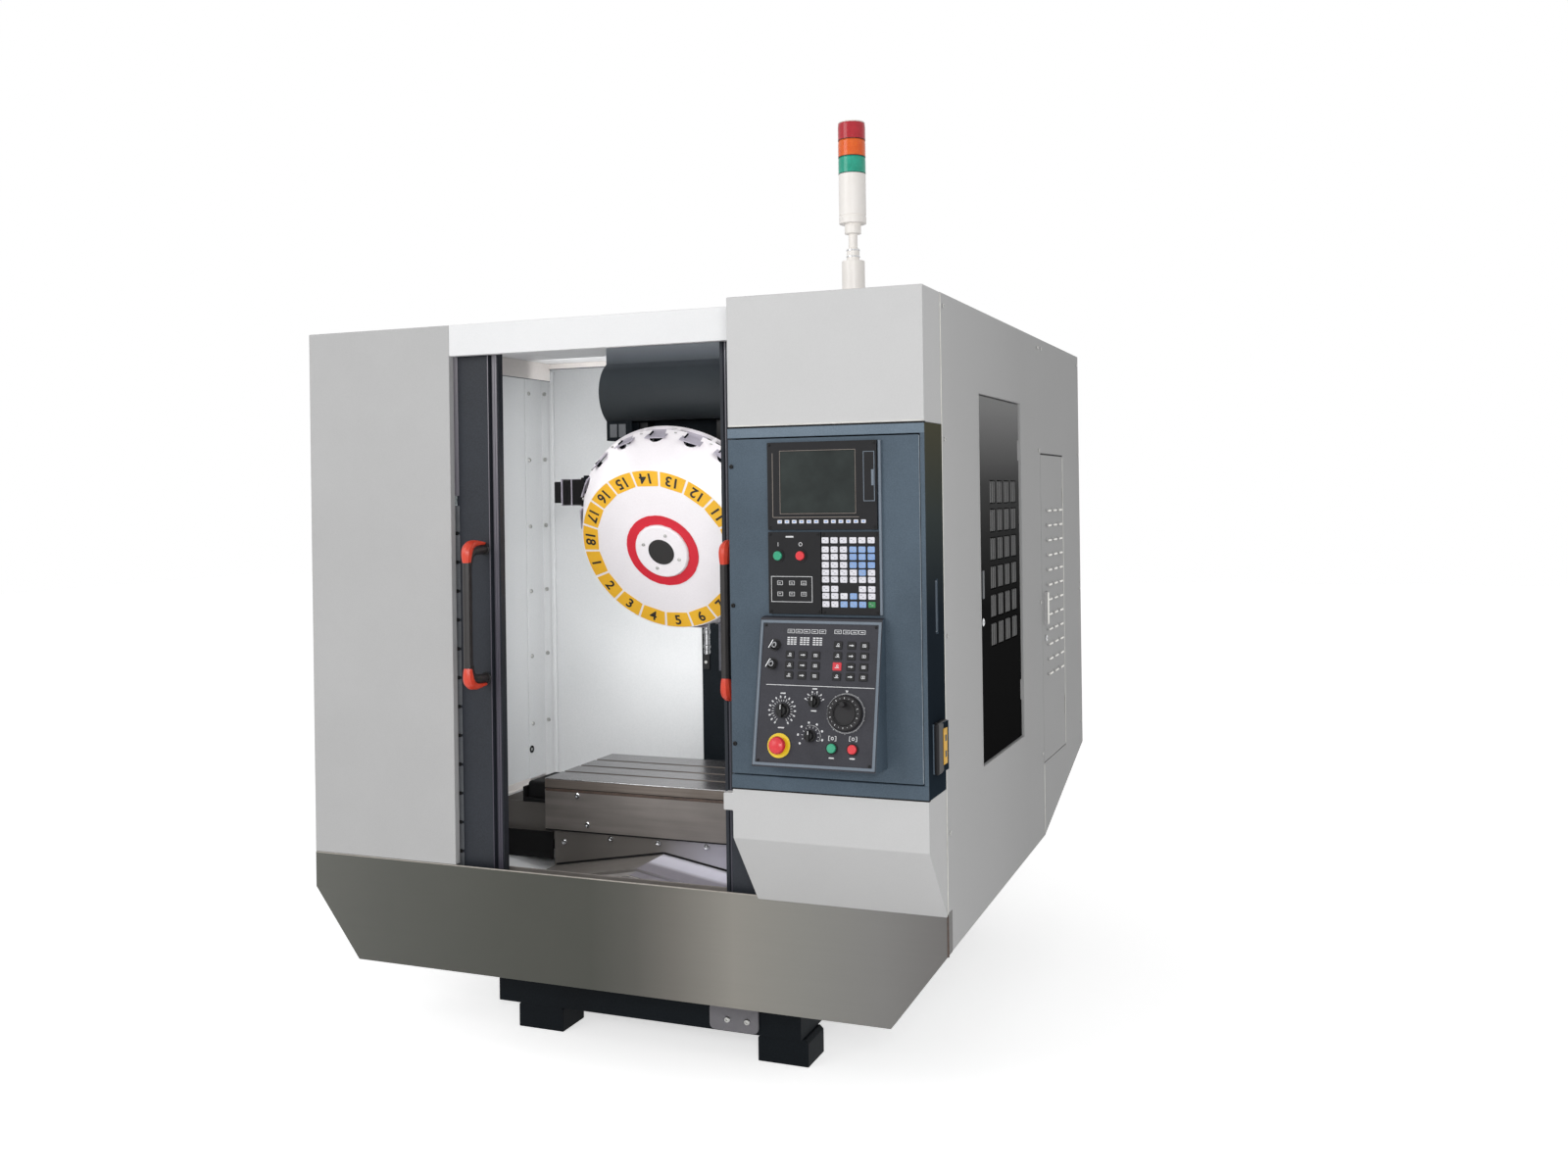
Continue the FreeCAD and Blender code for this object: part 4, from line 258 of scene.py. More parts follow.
# cold-rolled stainless tray, brushed along its length, dulled by coolant film; a painted reflection darkens it left of
# the middle and pales it to the right
STAINLESS = brushed("brushed_stainless_painted_reflection", "#5F5F5B", "#6B6A66", 0.5, (2.0, 40.0, 160.0), 0.00002, metallic=0.6,
                    fade=("X", -0.95, 0.95, ((0.0, "#62635E"), (0.14, "#555651"), (0.36, "#474842"), (0.48, "#44453F"),
                                             (0.55, "#55544F"), (0.61, "#6E6B65"), (0.70, "#8F8C85"),
                                             (0.80, "#868580"), (0.91, "#7D7C7A"), (1.0, "#6C6A69"))))
# stainless sheets of the way cover, streaked down their slope by the wipers; their bright tone is a painted reflection
# on the right-hand slopes
COVER_LIT_SLOPE = brushed("stainless_slope_painted_reflection", "#96939B", "#E0DFE8", 0.42, (60.0, 2.0, 2.0), metallic=0.15,
                       fade=("Y", -0.640, -0.418, ((0.0, "#67636B"), (0.50, "#6F6B74"), (0.62, "#C8C7D3"),
                                                   (0.9, "#DCDBE6"), (1.0, "#B9B7C0"))))
# cover sheets with painted shade on the left slope and a painted reflection on the right
COVER_STEEL = brushed("stainless_painted_slope_light", "#7E7B7A", "#D4D2D6", 0.4, (60.0, 2.0, 2.0), metallic=0.2,
                      fade=("X", -0.37, 0.37, ((0.0, "#75706D"), (0.45, "#7E7A77"), (0.52, "#8B888A"),
                                               (0.60, "#DCDBE6"), (0.8, "#E2E1EB"), (1.0, "#C6C5CE"))))
# the saddle's front sheet: dull on the left, with a painted highlight towards the right
SADDLE_STEEL = brushed("grey_steel_painted_highlight", "#6C6865", "#84817F", 0.45, (4.0, 30.0, 60.0), metallic=0.3,
                       fade=("X", -0.60, 0.40, ((0.0, "#6A6662"), (0.57, "#6A6662"), (0.68, "#8F8C91"),
                                                (0.84, "#C2C0CD"), (1.0, "#9E9CA6"))))
# cast iron table, ground along X: fine straight lines, mid grey
TABLE_IRON = brushed("ground_cast_iron", "#5B595A", "#737172", 0.2, (3.0, 260.0, 260.0), metallic=0.65)
TABLE_EDGE = brushed("oiled_cast_iron", "#675F58", "#837A73", 0.5, (4.0, 60.0, 220.0), metallic=0.5)
# grey film of coolant on the table skirt and the tracks
SKIRT_STEEL = brushed("grey_film_on_steel", "#77726E", "#8E8884", 0.5, (4.0, 30.0, 60.0), metallic=0.5)
# bright ground shafts, oiled rails, and plated screws that glint
GROUND_STEEL = brushed("ground_steel", "#A7A8AA", "#C6C7C9", 0.25, (30.0, 30.0, 400.0))
RAIL_STEEL = brushed("oiled_rail_steel", "#33343A", "#4A4B52", 0.4, (30.0, 30.0, 200.0), metallic=0.5)
ZINC = brushed("zinc_plated_steel", "#A5A5A3", "#CBCBC8", 0.3, (400.0, 400.0, 400.0))
# painted highlights on sheet edges that catch the light: dull on the sill, blue on the console, bright on bare steel
SILL_EDGE_HIGHLIGHT = brushed("dull_sheet_edge_highlight", "#8F8A83", "#ADA8A0", 0.45, (60.0, 60.0, 60.0), metallic=0.5)
BLUE_EDGE_HIGHLIGHT = brushed("console_blue_edge_highlight", "#7D8790", "#A4AEB6", 0.4, (60.0, 60.0, 60.0), metallic=0.5)
BRIGHT_EDGE_HIGHLIGHT = brushed("bare_sheet_edge_highlight", "#C9C8C2", "#E3E2DC", 0.35, (60.0, 60.0, 60.0))
# mirror-like plating on keys and locks
CHROME = brushed("chrome_plate", "#BFC0C2", "#D9DADC", 0.12, (200.0, 200.0, 200.0))
# rusty oil in the gaps of the table and the apron
RUST = coated("rusty_oil_film", "#352C28", "#5E4C42", 0.6, 0.004, 0.0002, cloud=30.0)
# ABS housings and polyamide knobs: matt, slightly mottled
CONTROL_BLACK = moulded("abs_black", "#131315", "#1C1C1F", 0.45, shine=0.25)
PANEL_GREY = moulded("polyester_membrane_grey", "#2B2B31", "#3A3A41", 0.5, 0.003, shine=0.3)
RIM_GREY = coated("texture_coat_rim_grey", "#66717D", "#7A8591", 0.5, 0.003, 0.0003)
KNOB_BLACK = moulded("polyamide_black", "#0B0B0C", "#151517", 0.4, shine=0.3)
WHEEL_GREY = moulded("polyamide_dark_grey", "#1C1B1D", "#282729", 0.5, shine=0.3)
HANDLE_BLACK = moulded("soft_pvc_black", "#1E1B1B", "#2C2828", 0.42)
HANDLE_RED = moulded("nylon_orange_red", "#DE3C26", "#EE5238", 0.35)
RUBBER = moulded("nitrile_rubber_black", "#0C0C0D", "#141415", 0.7, shine=0.2)
# moulded keys, and inks printed on keys and panels
KEY_WHITE = moulded("abs_key_white", "#E2E1EA", "#F3F2F8", 0.45)
KEY_BLUE = moulded("abs_key_blue", "#7FA3DA", "#9FBDE8", 0.45)
KEY_GREEN = moulded("abs_key_green", "#2E7D49", "#3E9259", 0.45)
KEY_RED = moulded("abs_key_red", "#CC2A38", "#DB3644", 0.4)
MARK_WHITE = moulded("screen_ink_white", "#D9DADC", "#E8E9EB", 0.6)
MARK_GREY = moulded("screen_ink_grey", "#9C9DA4", "#AEAFB6", 0.6)
MARK_BLACK = moulded("screen_ink_black", "#141212", "#1E1B1B", 0.6)
FRAME_LINE = moulded("screen_ink_tan", "#7E7670", "#90877F", 0.6)
# glossy caps of buttons, the stop button's ring, and the ivory tower
BUTTON_GREEN = moulded("polycarbonate_green", "#2FA27B", "#43B38C", 0.3)
BUTTON_RED = moulded("polycarbonate_red", "#E0313A", "#EB4049", 0.3)
RING_YELLOW = moulded("polycarbonate_yellow", "#F2D21E", "#F8DC33", 0.35)
TOWER_WHITE = moulded("polycarbonate_ivory", "#F7F2EC", "#FDF9F5", 0.35)
# dark display with a soft greenish sheen
SCREEN_GLASS = coated("coated_display_glass", "#1E2423", "#323A38", 0.16, 0.05, 0.00001, cloud=9.0, shine=0.3)


def lens(name, low, high):
    """Clear ribbed lens over a lamp: saturated, glossy, brighter where it is thin."""
    return coated(name, low, high, 0.16, 0.004, 0.0003, cloud=40.0, shine=0.4)


# lenses of the signal tower
LENS_RED = lens("acrylic_red", "#B01E2C", "#C92C3A")
LENS_AMBER = lens("acrylic_amber", "#E85A14", "#F5762A")
LENS_GREEN = lens("acrylic_green", "#1C9A80", "#30B498")
# clear window sheet, faintly clouded by coolant mist and fine wiping scratches
PANE = coated("polycarbonate_pane", "#BFC9C9", "#D3DADA", 0.08, 0.002, 0.00002, cloud=6.0,
              Transmission_Weight=0.9, IOR=1.58)


# ---------------------------------------------------------------- modelling steps
def pick(*pieces):
    """Select these pieces and nothing else; the first becomes active."""
    bpy.ops.object.select_all(action="DESELECT")
    for piece in pieces:
        piece.select_set(True)
    bpy.context.view_layer.objects.active = pieces[0]


def settle(piece, place=None):
    """Put a piece in its place and write that into its mesh."""
    if place is not None:
        piece.matrix_world = place @ piece.matrix_world
    pick(piece)
    bpy.ops.object.transform_apply(location=True, rotation=True, scale=True)
    return piece


def open_mesh():
    """Edit the active mesh, with all of it selected."""
    bpy.ops.object.mode_set(mode="EDIT")
    bpy.ops.mesh.select_all(action="SELECT")


def close_mesh(piece):
    """Turn all faces outwards and leave edit mode."""
    bpy.ops.mesh.select_all(action="SELECT")
    bpy.ops.mesh.normals_make_consistent(inside=False)
    bpy.ops.object.mode_set(mode="OBJECT")
    return piece


def pull(move):
    """Extrude the selected faces."""
    bpy.ops.mesh.extrude_region_move(TRANSFORM_OT_translate={"value": move})


def soften(piece, edge, segments=2):
    """Round the sharp edges of a piece."""
    bevel = piece.modifiers.new("rounding", "BEVEL")
    bevel.width = edge * MM
    bevel.segments = segments
    bevel.limit_method = "ANGLE"
    bevel.angle_limit = math.radians(32)
    pick(piece)
    bpy.ops.object.modifier_apply(modifier=bevel.name)
    return piece


def cube(low, high):
    """Sharp block between two corners in metres."""
    bpy.ops.object.select_all(action="DESELECT")
    bpy.ops.mesh.primitive_cube_add(size=1, location=[(a + b) / 2 for a, b in zip(low, high)],
                                    scale=[b - a for a, b in zip(low, high)])
    return settle(bpy.context.object)


def corners(x0, y0, z0, x1, y1, z1):
    """Two corners in metres, at the precision of a mesh, so that flush faces stay flush."""
    return Vector([c * MM for c in (x0, y0, z0)]), Vector([c * MM for c in (x1, y1, z1)])


def block(x0, y0, z0, x1, y1, z1, edge=2.0, segments=2):
    """Block between two corners with rounded edges."""
    low, high = corners(x0, y0, z0, x1, y1, z1)
    piece = cube(low, high)
    open_mesh()
    bpy.ops.mesh.bevel(offset=min(edge * MM, min(high - low) * 0.45), segments=segments, affect="EDGES")
    bpy.ops.object.mode_set(mode="OBJECT")
    return piece


def slanted(x0, y0, z0, x1, y1, z1, test, move, edge):
    """Block whose corners that pass a test are moved, with rounded edges."""
    piece = cube(*corners(x0, y0, z0, x1, y1, z1))
    open_mesh()
    bpy.ops.object.mode_set(mode="OBJECT")
    for corner in piece.data.vertices:
        corner.select = test(corner.co)
    bpy.ops.object.mode_set(mode="EDIT")
    bpy.ops.transform.translate(value=[c * MM for c in move])
    bpy.ops.object.mode_set(mode="OBJECT")
    return soften(piece, edge, 1)


def plate(x0, y0, x1, y1, z0, z1, corner=3.0, edge=0.6):
    """Flat plate on XY with rounded corners."""
    piece = cube([c * MM for c in (x0, y0, z0)], [c * MM for c in (x1, y1, z1)])
    bpy.ops.object.mode_set(mode="EDIT")
    bpy.ops.mesh.select_all(action="DESELECT")
    bpy.ops.mesh.select_mode(type="EDGE")
    bpy.ops.object.mode_set(mode="OBJECT")
    for line in piece.data.edges:
        a, b = (piece.data.vertices[i].co for i in line.vertices)
        line.select = abs(a.z - b.z) > (z1 - z0) * MM * 0.5
    bpy.ops.object.mode_set(mode="EDIT")
    bpy.ops.mesh.bevel(offset=corner * MM, segments=3, affect="EDGES")
    bpy.ops.mesh.select_mode(type="VERT")
    bpy.ops.object.mode_set(mode="OBJECT")
    return soften(piece, edge, 1) if edge else piece


def turned(steps, sides=24):
    """Turned shape about +Z, pushed out from a disc step by step; steps are (radius, height)."""
    radius, height = steps[0]
    bpy.ops.object.select_all(action="DESELECT")
    bpy.ops.mesh.primitive_circle_add(vertices=sides, radius=radius * MM, fill_type="NGON",
                                      location=(0, 0, height * MM))
    piece = settle(bpy.context.object)
    open_mesh()
    for next_radius, next_height in steps[1:]:
        pull((0, 0, (next_height - height) * MM))
        grow = next_radius / radius
        bpy.ops.transform.resize(value=(grow, grow, 1), center_override=(0, 0, next_height * MM))
        radius, height = next_radius, next_height
    return close_mesh(piece)


def framed(width, low, high, wobble=0.0):
    """Make a frame of the new flat face: its middle inset and taken out, then given its thickness."""
    piece = settle(bpy.context.object)
    open_mesh()
    bpy.ops.mesh.inset(thickness=width * MM)
    bpy.ops.mesh.delete(type="FACE")
    bpy.ops.mesh.select_all(action="SELECT")
    if wobble:
        bpy.ops.transform.vertex_random(offset=wobble * MM, seed=4)
        bpy.ops.transform.resize(value=(1, 1, 0), center_override=(0, 0, low * MM))
    pull((0, 0, (high - low) * MM))
    return close_mesh(piece)


def ring(inner, outer, low, high, sides=48, wobble=0.0):
    """Flat ring about +Z."""
    bpy.ops.object.select_all(action="DESELECT")
    bpy.ops.mesh.primitive_circle_add(vertices=sides, radius=outer * MM, fill_type="NGON",
                                      location=(0, 0, low * MM))
    return framed((outer - inner) * math.cos(math.pi / sides), low, high, wobble)


def frame_of(x0, y0, x1, y1, width, z0, z1):
    """Four-sided flat frame on XY between two corners, its bars this wide."""
    bpy.ops.object.select_all(action="DESELECT")
    bpy.ops.mesh.primitive_plane_add(size=1, location=((x0 + x1) / 2 * MM, (y0 + y1) / 2 * MM, z0 * MM))
    bpy.context.object.scale = ((x1 - x0) * MM, (y1 - y0) * MM, 1)
    return framed(width, z0, z1)


def tube(points, radii, sides=16):
    """Round bar along a smooth line of points, its radius changing from point to point."""
    bpy.ops.object.select_all(action="DESELECT")
    bpy.ops.curve.primitive_nurbs_path_add()
    piece = bpy.context.object
    piece.data.splines.clear()
    spline = piece.data.splines.new("NURBS")
    spline.points.add(len(points) - 1)
    for point, (x, y, z), radius in zip(spline.points, points, radii):
        point.co = (x * MM, y * MM, z * MM, 1)
        point.radius = radius * MM
    spline.order_u = 3
    spline.use_endpoint_u = True
    piece.data.dimensions = "3D"
    piece.data.bevel_depth = 1.0
    piece.data.bevel_resolution = sides // 4 - 1
    piece.data.resolution_u = 6
    piece.data.use_fill_caps = True
    pick(piece)
    bpy.ops.object.convert(target="MESH")
    piece = bpy.context.object
    piece.matrix_world = Matrix()
    open_mesh()
    bpy.ops.mesh.remove_doubles(threshold=0.00002)
    bpy.ops.mesh.normals_make_consistent(inside=False)
    bpy.ops.object.mode_set(mode="OBJECT")
    return piece


def lettering(text, size, thickness, weight):
    """Figures or letters lying on XY, as a mesh, centred."""
    bpy.ops.object.select_all(action="DESELECT")
    bpy.ops.object.text_add(location=(0, 0, 0))
    piece = bpy.context.object
    piece.data.body = text
    piece.data.size = size * MM
    piece.data.align_x = "CENTER"
    piece.data.align_y = "CENTER"
    piece.data.extrude = thickness * MM
    piece.data.offset = weight * MM
    piece.data.resolution_u = 3
    pick(piece)
    bpy.ops.object.convert(target="MESH")
    return bpy.context.object


def joined(pieces):
    """Several pieces as one."""
    pick(*pieces)
    if len(pieces) > 1:
        bpy.ops.object.join()
    return settle(bpy.context.object)


def repeated(model, places):
    """Copies of one model at each place, each with its own mesh, joined."""
    copies = []
    for place in places:
        copy = model.copy()
        copy.data = model.data.copy()
        bpy.context.collection.objects.link(copy)
        copy.matrix_world = place @ model.matrix_world
        copies.append(copy)
    bpy.data.objects.remove(model)
    return joined(copies)


def done(piece, name, material, body="machine"):
    """Name, finish and mount a piece."""
    piece.name = name
    piece.data.name = name
    piece.data.materials.clear()
    piece.data.materials.append(material)
    pick(piece)
    bpy.ops.object.shade_smooth_by_angle(angle=math.radians(32))
    for leftover in list(piece.modifiers):
        bpy.ops.object.modifier_apply(modifier=leftover.name)
    even = piece.modifiers.new("even_shading", "WEIGHTED_NORMAL")
    even.keep_sharp = True
    bpy.ops.object.modifier_apply(modifier=even.name)
    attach(piece, body)
    return piece


def at(x, y, z=0.0, turn=0.0):
    """Place on a panel: across, up and out of it, turned in degrees."""
    return Matrix.Translation((x * MM, y * MM, z * MM)) @ Matrix.Rotation(math.radians(turn), 4, "Z")


def on(panel, piece, x=0.0, y=0.0, z=0.0, turn=0.0):
    """Carry a piece from XY to its place on a panel."""
    return settle(piece, panel @ at(x, y, z, turn))


def spots(panel, *groups, z=0.0):
    """Places on a panel: each group gives its values of x and of y, and every pair is a place."""
    return [panel @ at(x, y, z) for xs, ys in groups for x in xs for y in ys]


def bars(name, material, boxes, edge=2.0, segments=2, body="machine"):
    """One piece made of blocks; a block may have its own edge and segments after its corners."""
    return done(joined([block(*box[:6], *(box[6:] or (edge, segments))) for box in boxes]), name, material, body)


def mirrored(*boxes):
    """Blocks on the right of the middle plane, each with its mirror image."""
    return [box for x0, y0, z0, x1, y1, z1, *edge in boxes
            for box in ((-x1, y0, z0, -x0, y1, z1, *edge), (x0, y0, z0, x1, y1, z1, *edge))]


def screws(name, radius, places, body="machine", material=ZINC):
    """Pan heads with a hexagon socket."""
    head = turned([(radius, 0), (radius, radius * 0.35), (radius * 0.8, radius * 0.62),
                   (radius * 0.45, radius * 0.66), (radius * 0.42, radius * 0.25)], 12)
    return done(repeated(head, places), name, material, body)


def bolt(radius):
    """Hexagon head over a washer, on XY."""
    head = turned([(radius, radius * 0.3), (radius, radius * 0.95), (radius * 0.85, radius * 1.1)], 6)
    washer = turned([(radius * 1.35, 0), (radius * 1.35, radius * 0.25), (radius * 1.25, radius * 0.32)], 16)
    return joined([washer, head])


def pressed(piece, axis, outward, low, high, depth):
    """Push a rectangle of a flat face inwards. axis is the face's normal, low and high its corners."""
    low, high = [c * MM for c in low], [c * MM for c in high]
    others = [i for i in range(3) if i != axis]
    pick(piece)
    bpy.ops.object.mode_set(mode="EDIT")
    for index, other in enumerate(others):
        for limit in (low[index], high[index]):
            bpy.ops.mesh.select_all(action="SELECT")
            bpy.ops.mesh.bisect(plane_co=[limit if i == other else 0 for i in range(3)],
                                plane_no=[int(i == other) for i in range(3)])
    bpy.ops.mesh.select_all(action="DESELECT")
    bpy.ops.mesh.select_mode(type="FACE")
    bpy.ops.object.mode_set(mode="OBJECT")
    outer = max(v.co[axis] * outward for v in piece.data.vertices)
    for face in piece.data.polygons:
        inside = all(low[i] < face.center[o] < high[i] for i, o in enumerate(others))
        face.select = inside and face.normal[axis] * outward > 0.99 and face.center[axis] * outward > outer - 0.001
    bpy.ops.object.mode_set(mode="EDIT")
    pull([-outward * depth * MM if i == axis else 0 for i in range(3)])
    bpy.ops.mesh.select_mode(type="VERT")
    bpy.ops.object.mode_set(mode="OBJECT")


def repaint(node, material, test):
    """Give a node's faces that pass a test of their vertices and normal another material."""
    piece = shown[node]
    piece.data.materials.append(material)
    index = len(piece.data.materials) - 1
    for face in piece.data.polygons:
        if test([piece.data.vertices[i].co for i in face.vertices], face.normal):
            face.material_index = index


def rounded(node, material, edge):
    """Copy of a CAD node with its triangles merged and its edges rounded, shown in its place."""
    source = NODES[node]
    piece = source.copy()
    piece.data = source.data.copy()
    bpy.context.collection.objects.link(piece)
    piece.parent = None
    body = piece["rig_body"]
    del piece["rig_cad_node"]
    pick(piece)
    if piece.data.has_custom_normals:
        bpy.ops.mesh.customdata_custom_splitnormals_clear()
    open_mesh()
    bpy.ops.mesh.remove_doubles(threshold=0.00002)
    bpy.ops.mesh.dissolve_limited(angle_limit=math.radians(0.6))
    bpy.ops.object.mode_set(mode="OBJECT")
    for recess in PRESSED.get(node, ()):
        pressed(piece, *recess)
    soften(piece, edge)
    done(piece, "shown_" + node, material, body)
    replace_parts(piece, node)
    return piece


# ---------------------------------------------------------------- CAD forms, rounded and finished
# recesses pressed into flat sheets, as (axis of the face, its side, low corner, high corner, depth)
PRESSED = {
    "left_panel": [(0, -1, (-330, 780), (330, 1800), 6), (0, -1, (470, 680), (950, 1640), 6)],
    "rear_panel": [(1, 1, (-740, 760), (20, 1820), 12), (1, 1, (160, 760), (780, 1820), 12)],
}
# what each node is made of, and how far its edges are rounded
ROUNDED = [
    ("left_panel", LIGHT_GREY, 2.5), ("right_side_panel", SIDE_GREY_PAINTED_FALLOFF, 2.5), ("right_rear_panel", SIDE_GREY_PAINTED_FALLOFF, 2.5),
    ("rear_panel", LIGHT_GREY, 2.0), ("roof_panel", WHITE_COAT, 2.5), ("front_apron", STAINLESS, 1.5),
    ("chamber_walls", LINING, 1.0), ("chip_pan", LINING, 1.0), ("door_tracks", SKIRT_STEEL, 1.0),
    ("console_top_box", BOX_GREY, 3.0), ("console_cabinet", BLUE_GREY, 2.0), ("console_lower_box", BOX_GREY, 3.0),
    ("console_door", BLUE_GREY, 1.5), ("base_casting", CAST_PAINT, 5.0), ("levelling_feet", CAST_PAINT, 2.0),
    ("column_casting", CAST_PAINT, 4.0), ("left_door_leaf", DOOR_DARK, 2.0), ("right_door_leaf", DOOR_DARK, 2.0),
    ("work_table", TABLE_IRON, 0.8), ("table_skirt", SKIRT_STEEL, 0.8), ("saddle_casting", CAST_PAINT, 2.0),
    ("saddle_cover", SADDLE_STEEL, 0.6), ("way_cover_front", COVER_STEEL, 0.5),
    ("way_cover_inner", COVER_STEEL, 0.5), ("way_cover_middle", COVER_STEEL, 0.5),
    ("head_casting", CAST_PAINT, 3.0), ("head_cover", COVER_DARK, 3.0), ("spindle_motor", MOTOR_BLACK, 2.0),
    ("x_axis_motor", MOTOR_BLACK, 2.0), ("axis_motors", MOTOR_BLACK, 2.0), ("turret_motor", MOTOR_BLACK, 3.0),
    ("turret_arm", CAST_PAINT, 2.0), ("turret_cone", TURRET_WHITE, 1.2), ("number_plates", PLATE_YELLOW, 0.4),
    ("turret_hub", TURRET_WHITE, 0.5), ("tool_grippers", GRIPPER_GREY, 0.8), ("control_units", CONTROL_BLACK, 1.5),
    ("operator_box", PANEL_GREY, 2.0), ("side_door", SIDE_DARK, 1.2), ("cabinet_door", SIDE_GREY_PAINTED_FALLOFF, 1.2),
    ("tower_stand", TOWER_WHITE, 0.8), ("tower_lenses", LENS_RED, 0.6), ("power_on", BUTTON_GREEN, 0.5),
    ("power_off", BUTTON_RED, 0.5), ("cycle_start", BUTTON_GREEN, 0.5), ("feed_hold", BUTTON_RED, 0.5),
    ("stop_button", BUTTON_RED, 1.5), ("feed_knob", KNOB_BLACK, 0.8), ("rapid_knob", KNOB_BLACK, 0.8),
    ("mode_knob", KNOB_BLACK, 0.8), ("handwheel", WHEEL_GREY, 1.2), ("key_switch_a", KNOB_BLACK, 0.5),
    ("key_switch_b", KNOB_BLACK, 0.5),
]
shown = {node: rounded(node, material, edge) for node, material, edge in ROUNDED}
for node, material in (("guide_rails", RAIL_STEEL), ("x_ball_screw", GROUND_STEEL), ("y_ball_screw", GROUND_STEEL),
                       ("z_ball_screw", GROUND_STEEL), ("spindle_shaft", GROUND_STEEL)):
    NODES[node].data.materials.clear()
    NODES[node].data.materials.append(material)


def black_disc(points, normal):
    """Whether a face of the hub is its raised black disc."""
    local = [TURRET.inverted() @ p for p in points]
    return max(math.hypot(p.x, p.y) for p in local) < 0.0415 and sum(p.z for p in local) / len(local) > 0.0101


for side in ("left", "right"):
    pane_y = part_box(side + "_door_leaf")[1].y - 0.010
    repaint(side + "_door_leaf", PANE,
            lambda ps, n: all(0.885 < p.z < 1.715 and abs(p.y - pane_y) < 0.0045 for p in ps))
repaint("turret_hub", MARK_BLACK, black_disc)
repaint("tower_lenses", LENS_AMBER, lambda ps, n: all(2.3469 < p.z < 2.3881 for p in ps))
repaint("tower_lenses", LENS_GREEN, lambda ps, n: all(p.z < 2.3471 for p in ps))
repaint("operator_box", RING_YELLOW, lambda ps, n: max((OPERATOR.inverted() @ p).z for p in ps) > 0.0004)
# faces of the console that look to +X take the painted side shade and reflection
repaint("console_cabinet", SIDE_SHADE_COAT, lambda ps, n: n.x > 0.9)
repaint("console_door", SIDE_SHADE_COAT, lambda ps, n: n.x > 0.9)
repaint("operator_box", BLUE_GREY, lambda ps, n: abs(n.x) > 0.9 or n.z < -0.8)
# the right-hand slopes of the covers and saddle take the painted reflection
for node in ("way_cover_middle", "way_cover_inner", "saddle_cover"):
    repaint(node, COVER_LIT_SLOPE, lambda ps, n: n.z > 0.9 and n.x > 0.1)
repaint("work_table", TABLE_EDGE, lambda ps, n: n.y < -0.9 and min(p.z for p in ps) > 0.64)

# ---------------------------------------------------------------- chamber
WALL_X, PAN = 870, 506
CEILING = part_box("chamber_walls")[1].z / MM
POST_TOP = CEILING - 1
bars("corner_posts", LINING, mirrored((866, 246, PAN, WALL_X, 357, POST_TOP), (828, 354, PAN, 869, 358, POST_TOP),
                                      (814, 344, PAN, 830, 358, POST_TOP, 4, 3)), 1.2)
LEFT_WALL, RIGHT_WALL = facing("right", -866), facing("left", 866)
POST_SCREWS = (1906, 1668, 1430, 1198, 966, 724)
screws("chamber_screws", 7.5, spots(LEFT_WALL, ((268,), POST_SCREWS)) + spots(RIGHT_WALL, ((-268,), POST_SCREWS))
       + spots(facing("front", 354), ((-852, 852), [z + 3 for z in POST_SCREWS])))
done(repeated(ring(6, 13, 0, 2, 20), [LEFT_WALL @ at(258, 634), RIGHT_WALL @ at(-258, 634)]), "chamber_drain_rings",
     RUBBER)
chutes = [slanted(x0, -420, 500, x1, 354, 668, lambda co: co.z > 0.6 and co.y > 0, (0, 0, -136), 1)
          for x0, x1 in ((-869.5, -866), (866, 869.5))]
done(joined(chutes), "chamber_lower_sheets", LINING_WARM)
bars("chamber_top_ducts", LINING_WARM, mirrored((688, -640, 1932, 692, 122, CEILING - 0.5),
                                                (262, 118, 1973.5, 690, 122, CEILING - 0.5)), 1)
bars("duct_shadow_gaps", SLAT_GREY, mirrored((262, 117, 1970.5, 687, 121.5, 1974),
                                             (687.5, -640, 1930, 691.5, 121.5, 1932.5)), 0.8, 1)
bars("pan_seal_beads", LINING_WARM, mirrored((858, -690, 504, 869, 356, 512)), 3, 3)
bars("column_edge_strips", MOTOR_BLACK, [(-228, 348, 930, -204, 354, 1770), (200, 348, 930, 224, 354, 1770)])
screws("column_screws", 6, spots(facing("front", 348), ((-216, 212), range(955, 1748, 88))))

# ---------------------------------------------------------------- head
cover_left, cover_right = (corner.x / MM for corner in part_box("head_cover"))
bars("head_shoulders", MOTOR_BLACK, [(-224, -262, 1694, -116, 20, 1759), (112, -262, 1694, 220, 20, 1759)], 4,
     body="head")
bars("head_cable_clamps", CAST_PAINT, [(x0, -272, 1712, x1, -262, 1757) for x0, x1 in
                                       ((-218, -186), (-178, -142), (138, 174), (182, 214))], body="head")
bars("head_cover_hem", MOTOR_BLACK, [(cover_left + x, -300, 1759.5, cover_left + x + 6, -60, 1762.5) for x in (8, 448)],
     1, body="head")
bars("head_cover_shroud", CAST_PAINT, [(-236.5, -300, 1702, -232.5, -80, 1761.5),
                                       (-236.5, -300, 1702, -150, -296, 1761.5),
                                       (-190, -297.5, 1716, -172, -290, 1752, 2, 2)], 1, body="head")
bars("shroud_brackets", SLAT_GREY, [(x, -302, 1712, x + 24.5, -299.5, 1752) for x in (-224.5, -194.5)], body="head")
COVER_SCREWS = (1785, 1955)
screws("head_cover_screws", 6, spots(facing("left", cover_left), ((75, 270), COVER_SCREWS))
       + spots(facing("right", cover_right), ((-75, -270), COVER_SCREWS)), "head")
nozzle = turned([(4, 1033), (10.5, 1036), (10.5, 1048), (8.5, 1049), (8.5, 1053), (11.7, 1054), (11.7, 1062),
                 (9.5, 1064), (9.5, 1098), (11.7, 1099), (11.7, 1110), (9.5, 1112), (9.5, 1400)], 20)
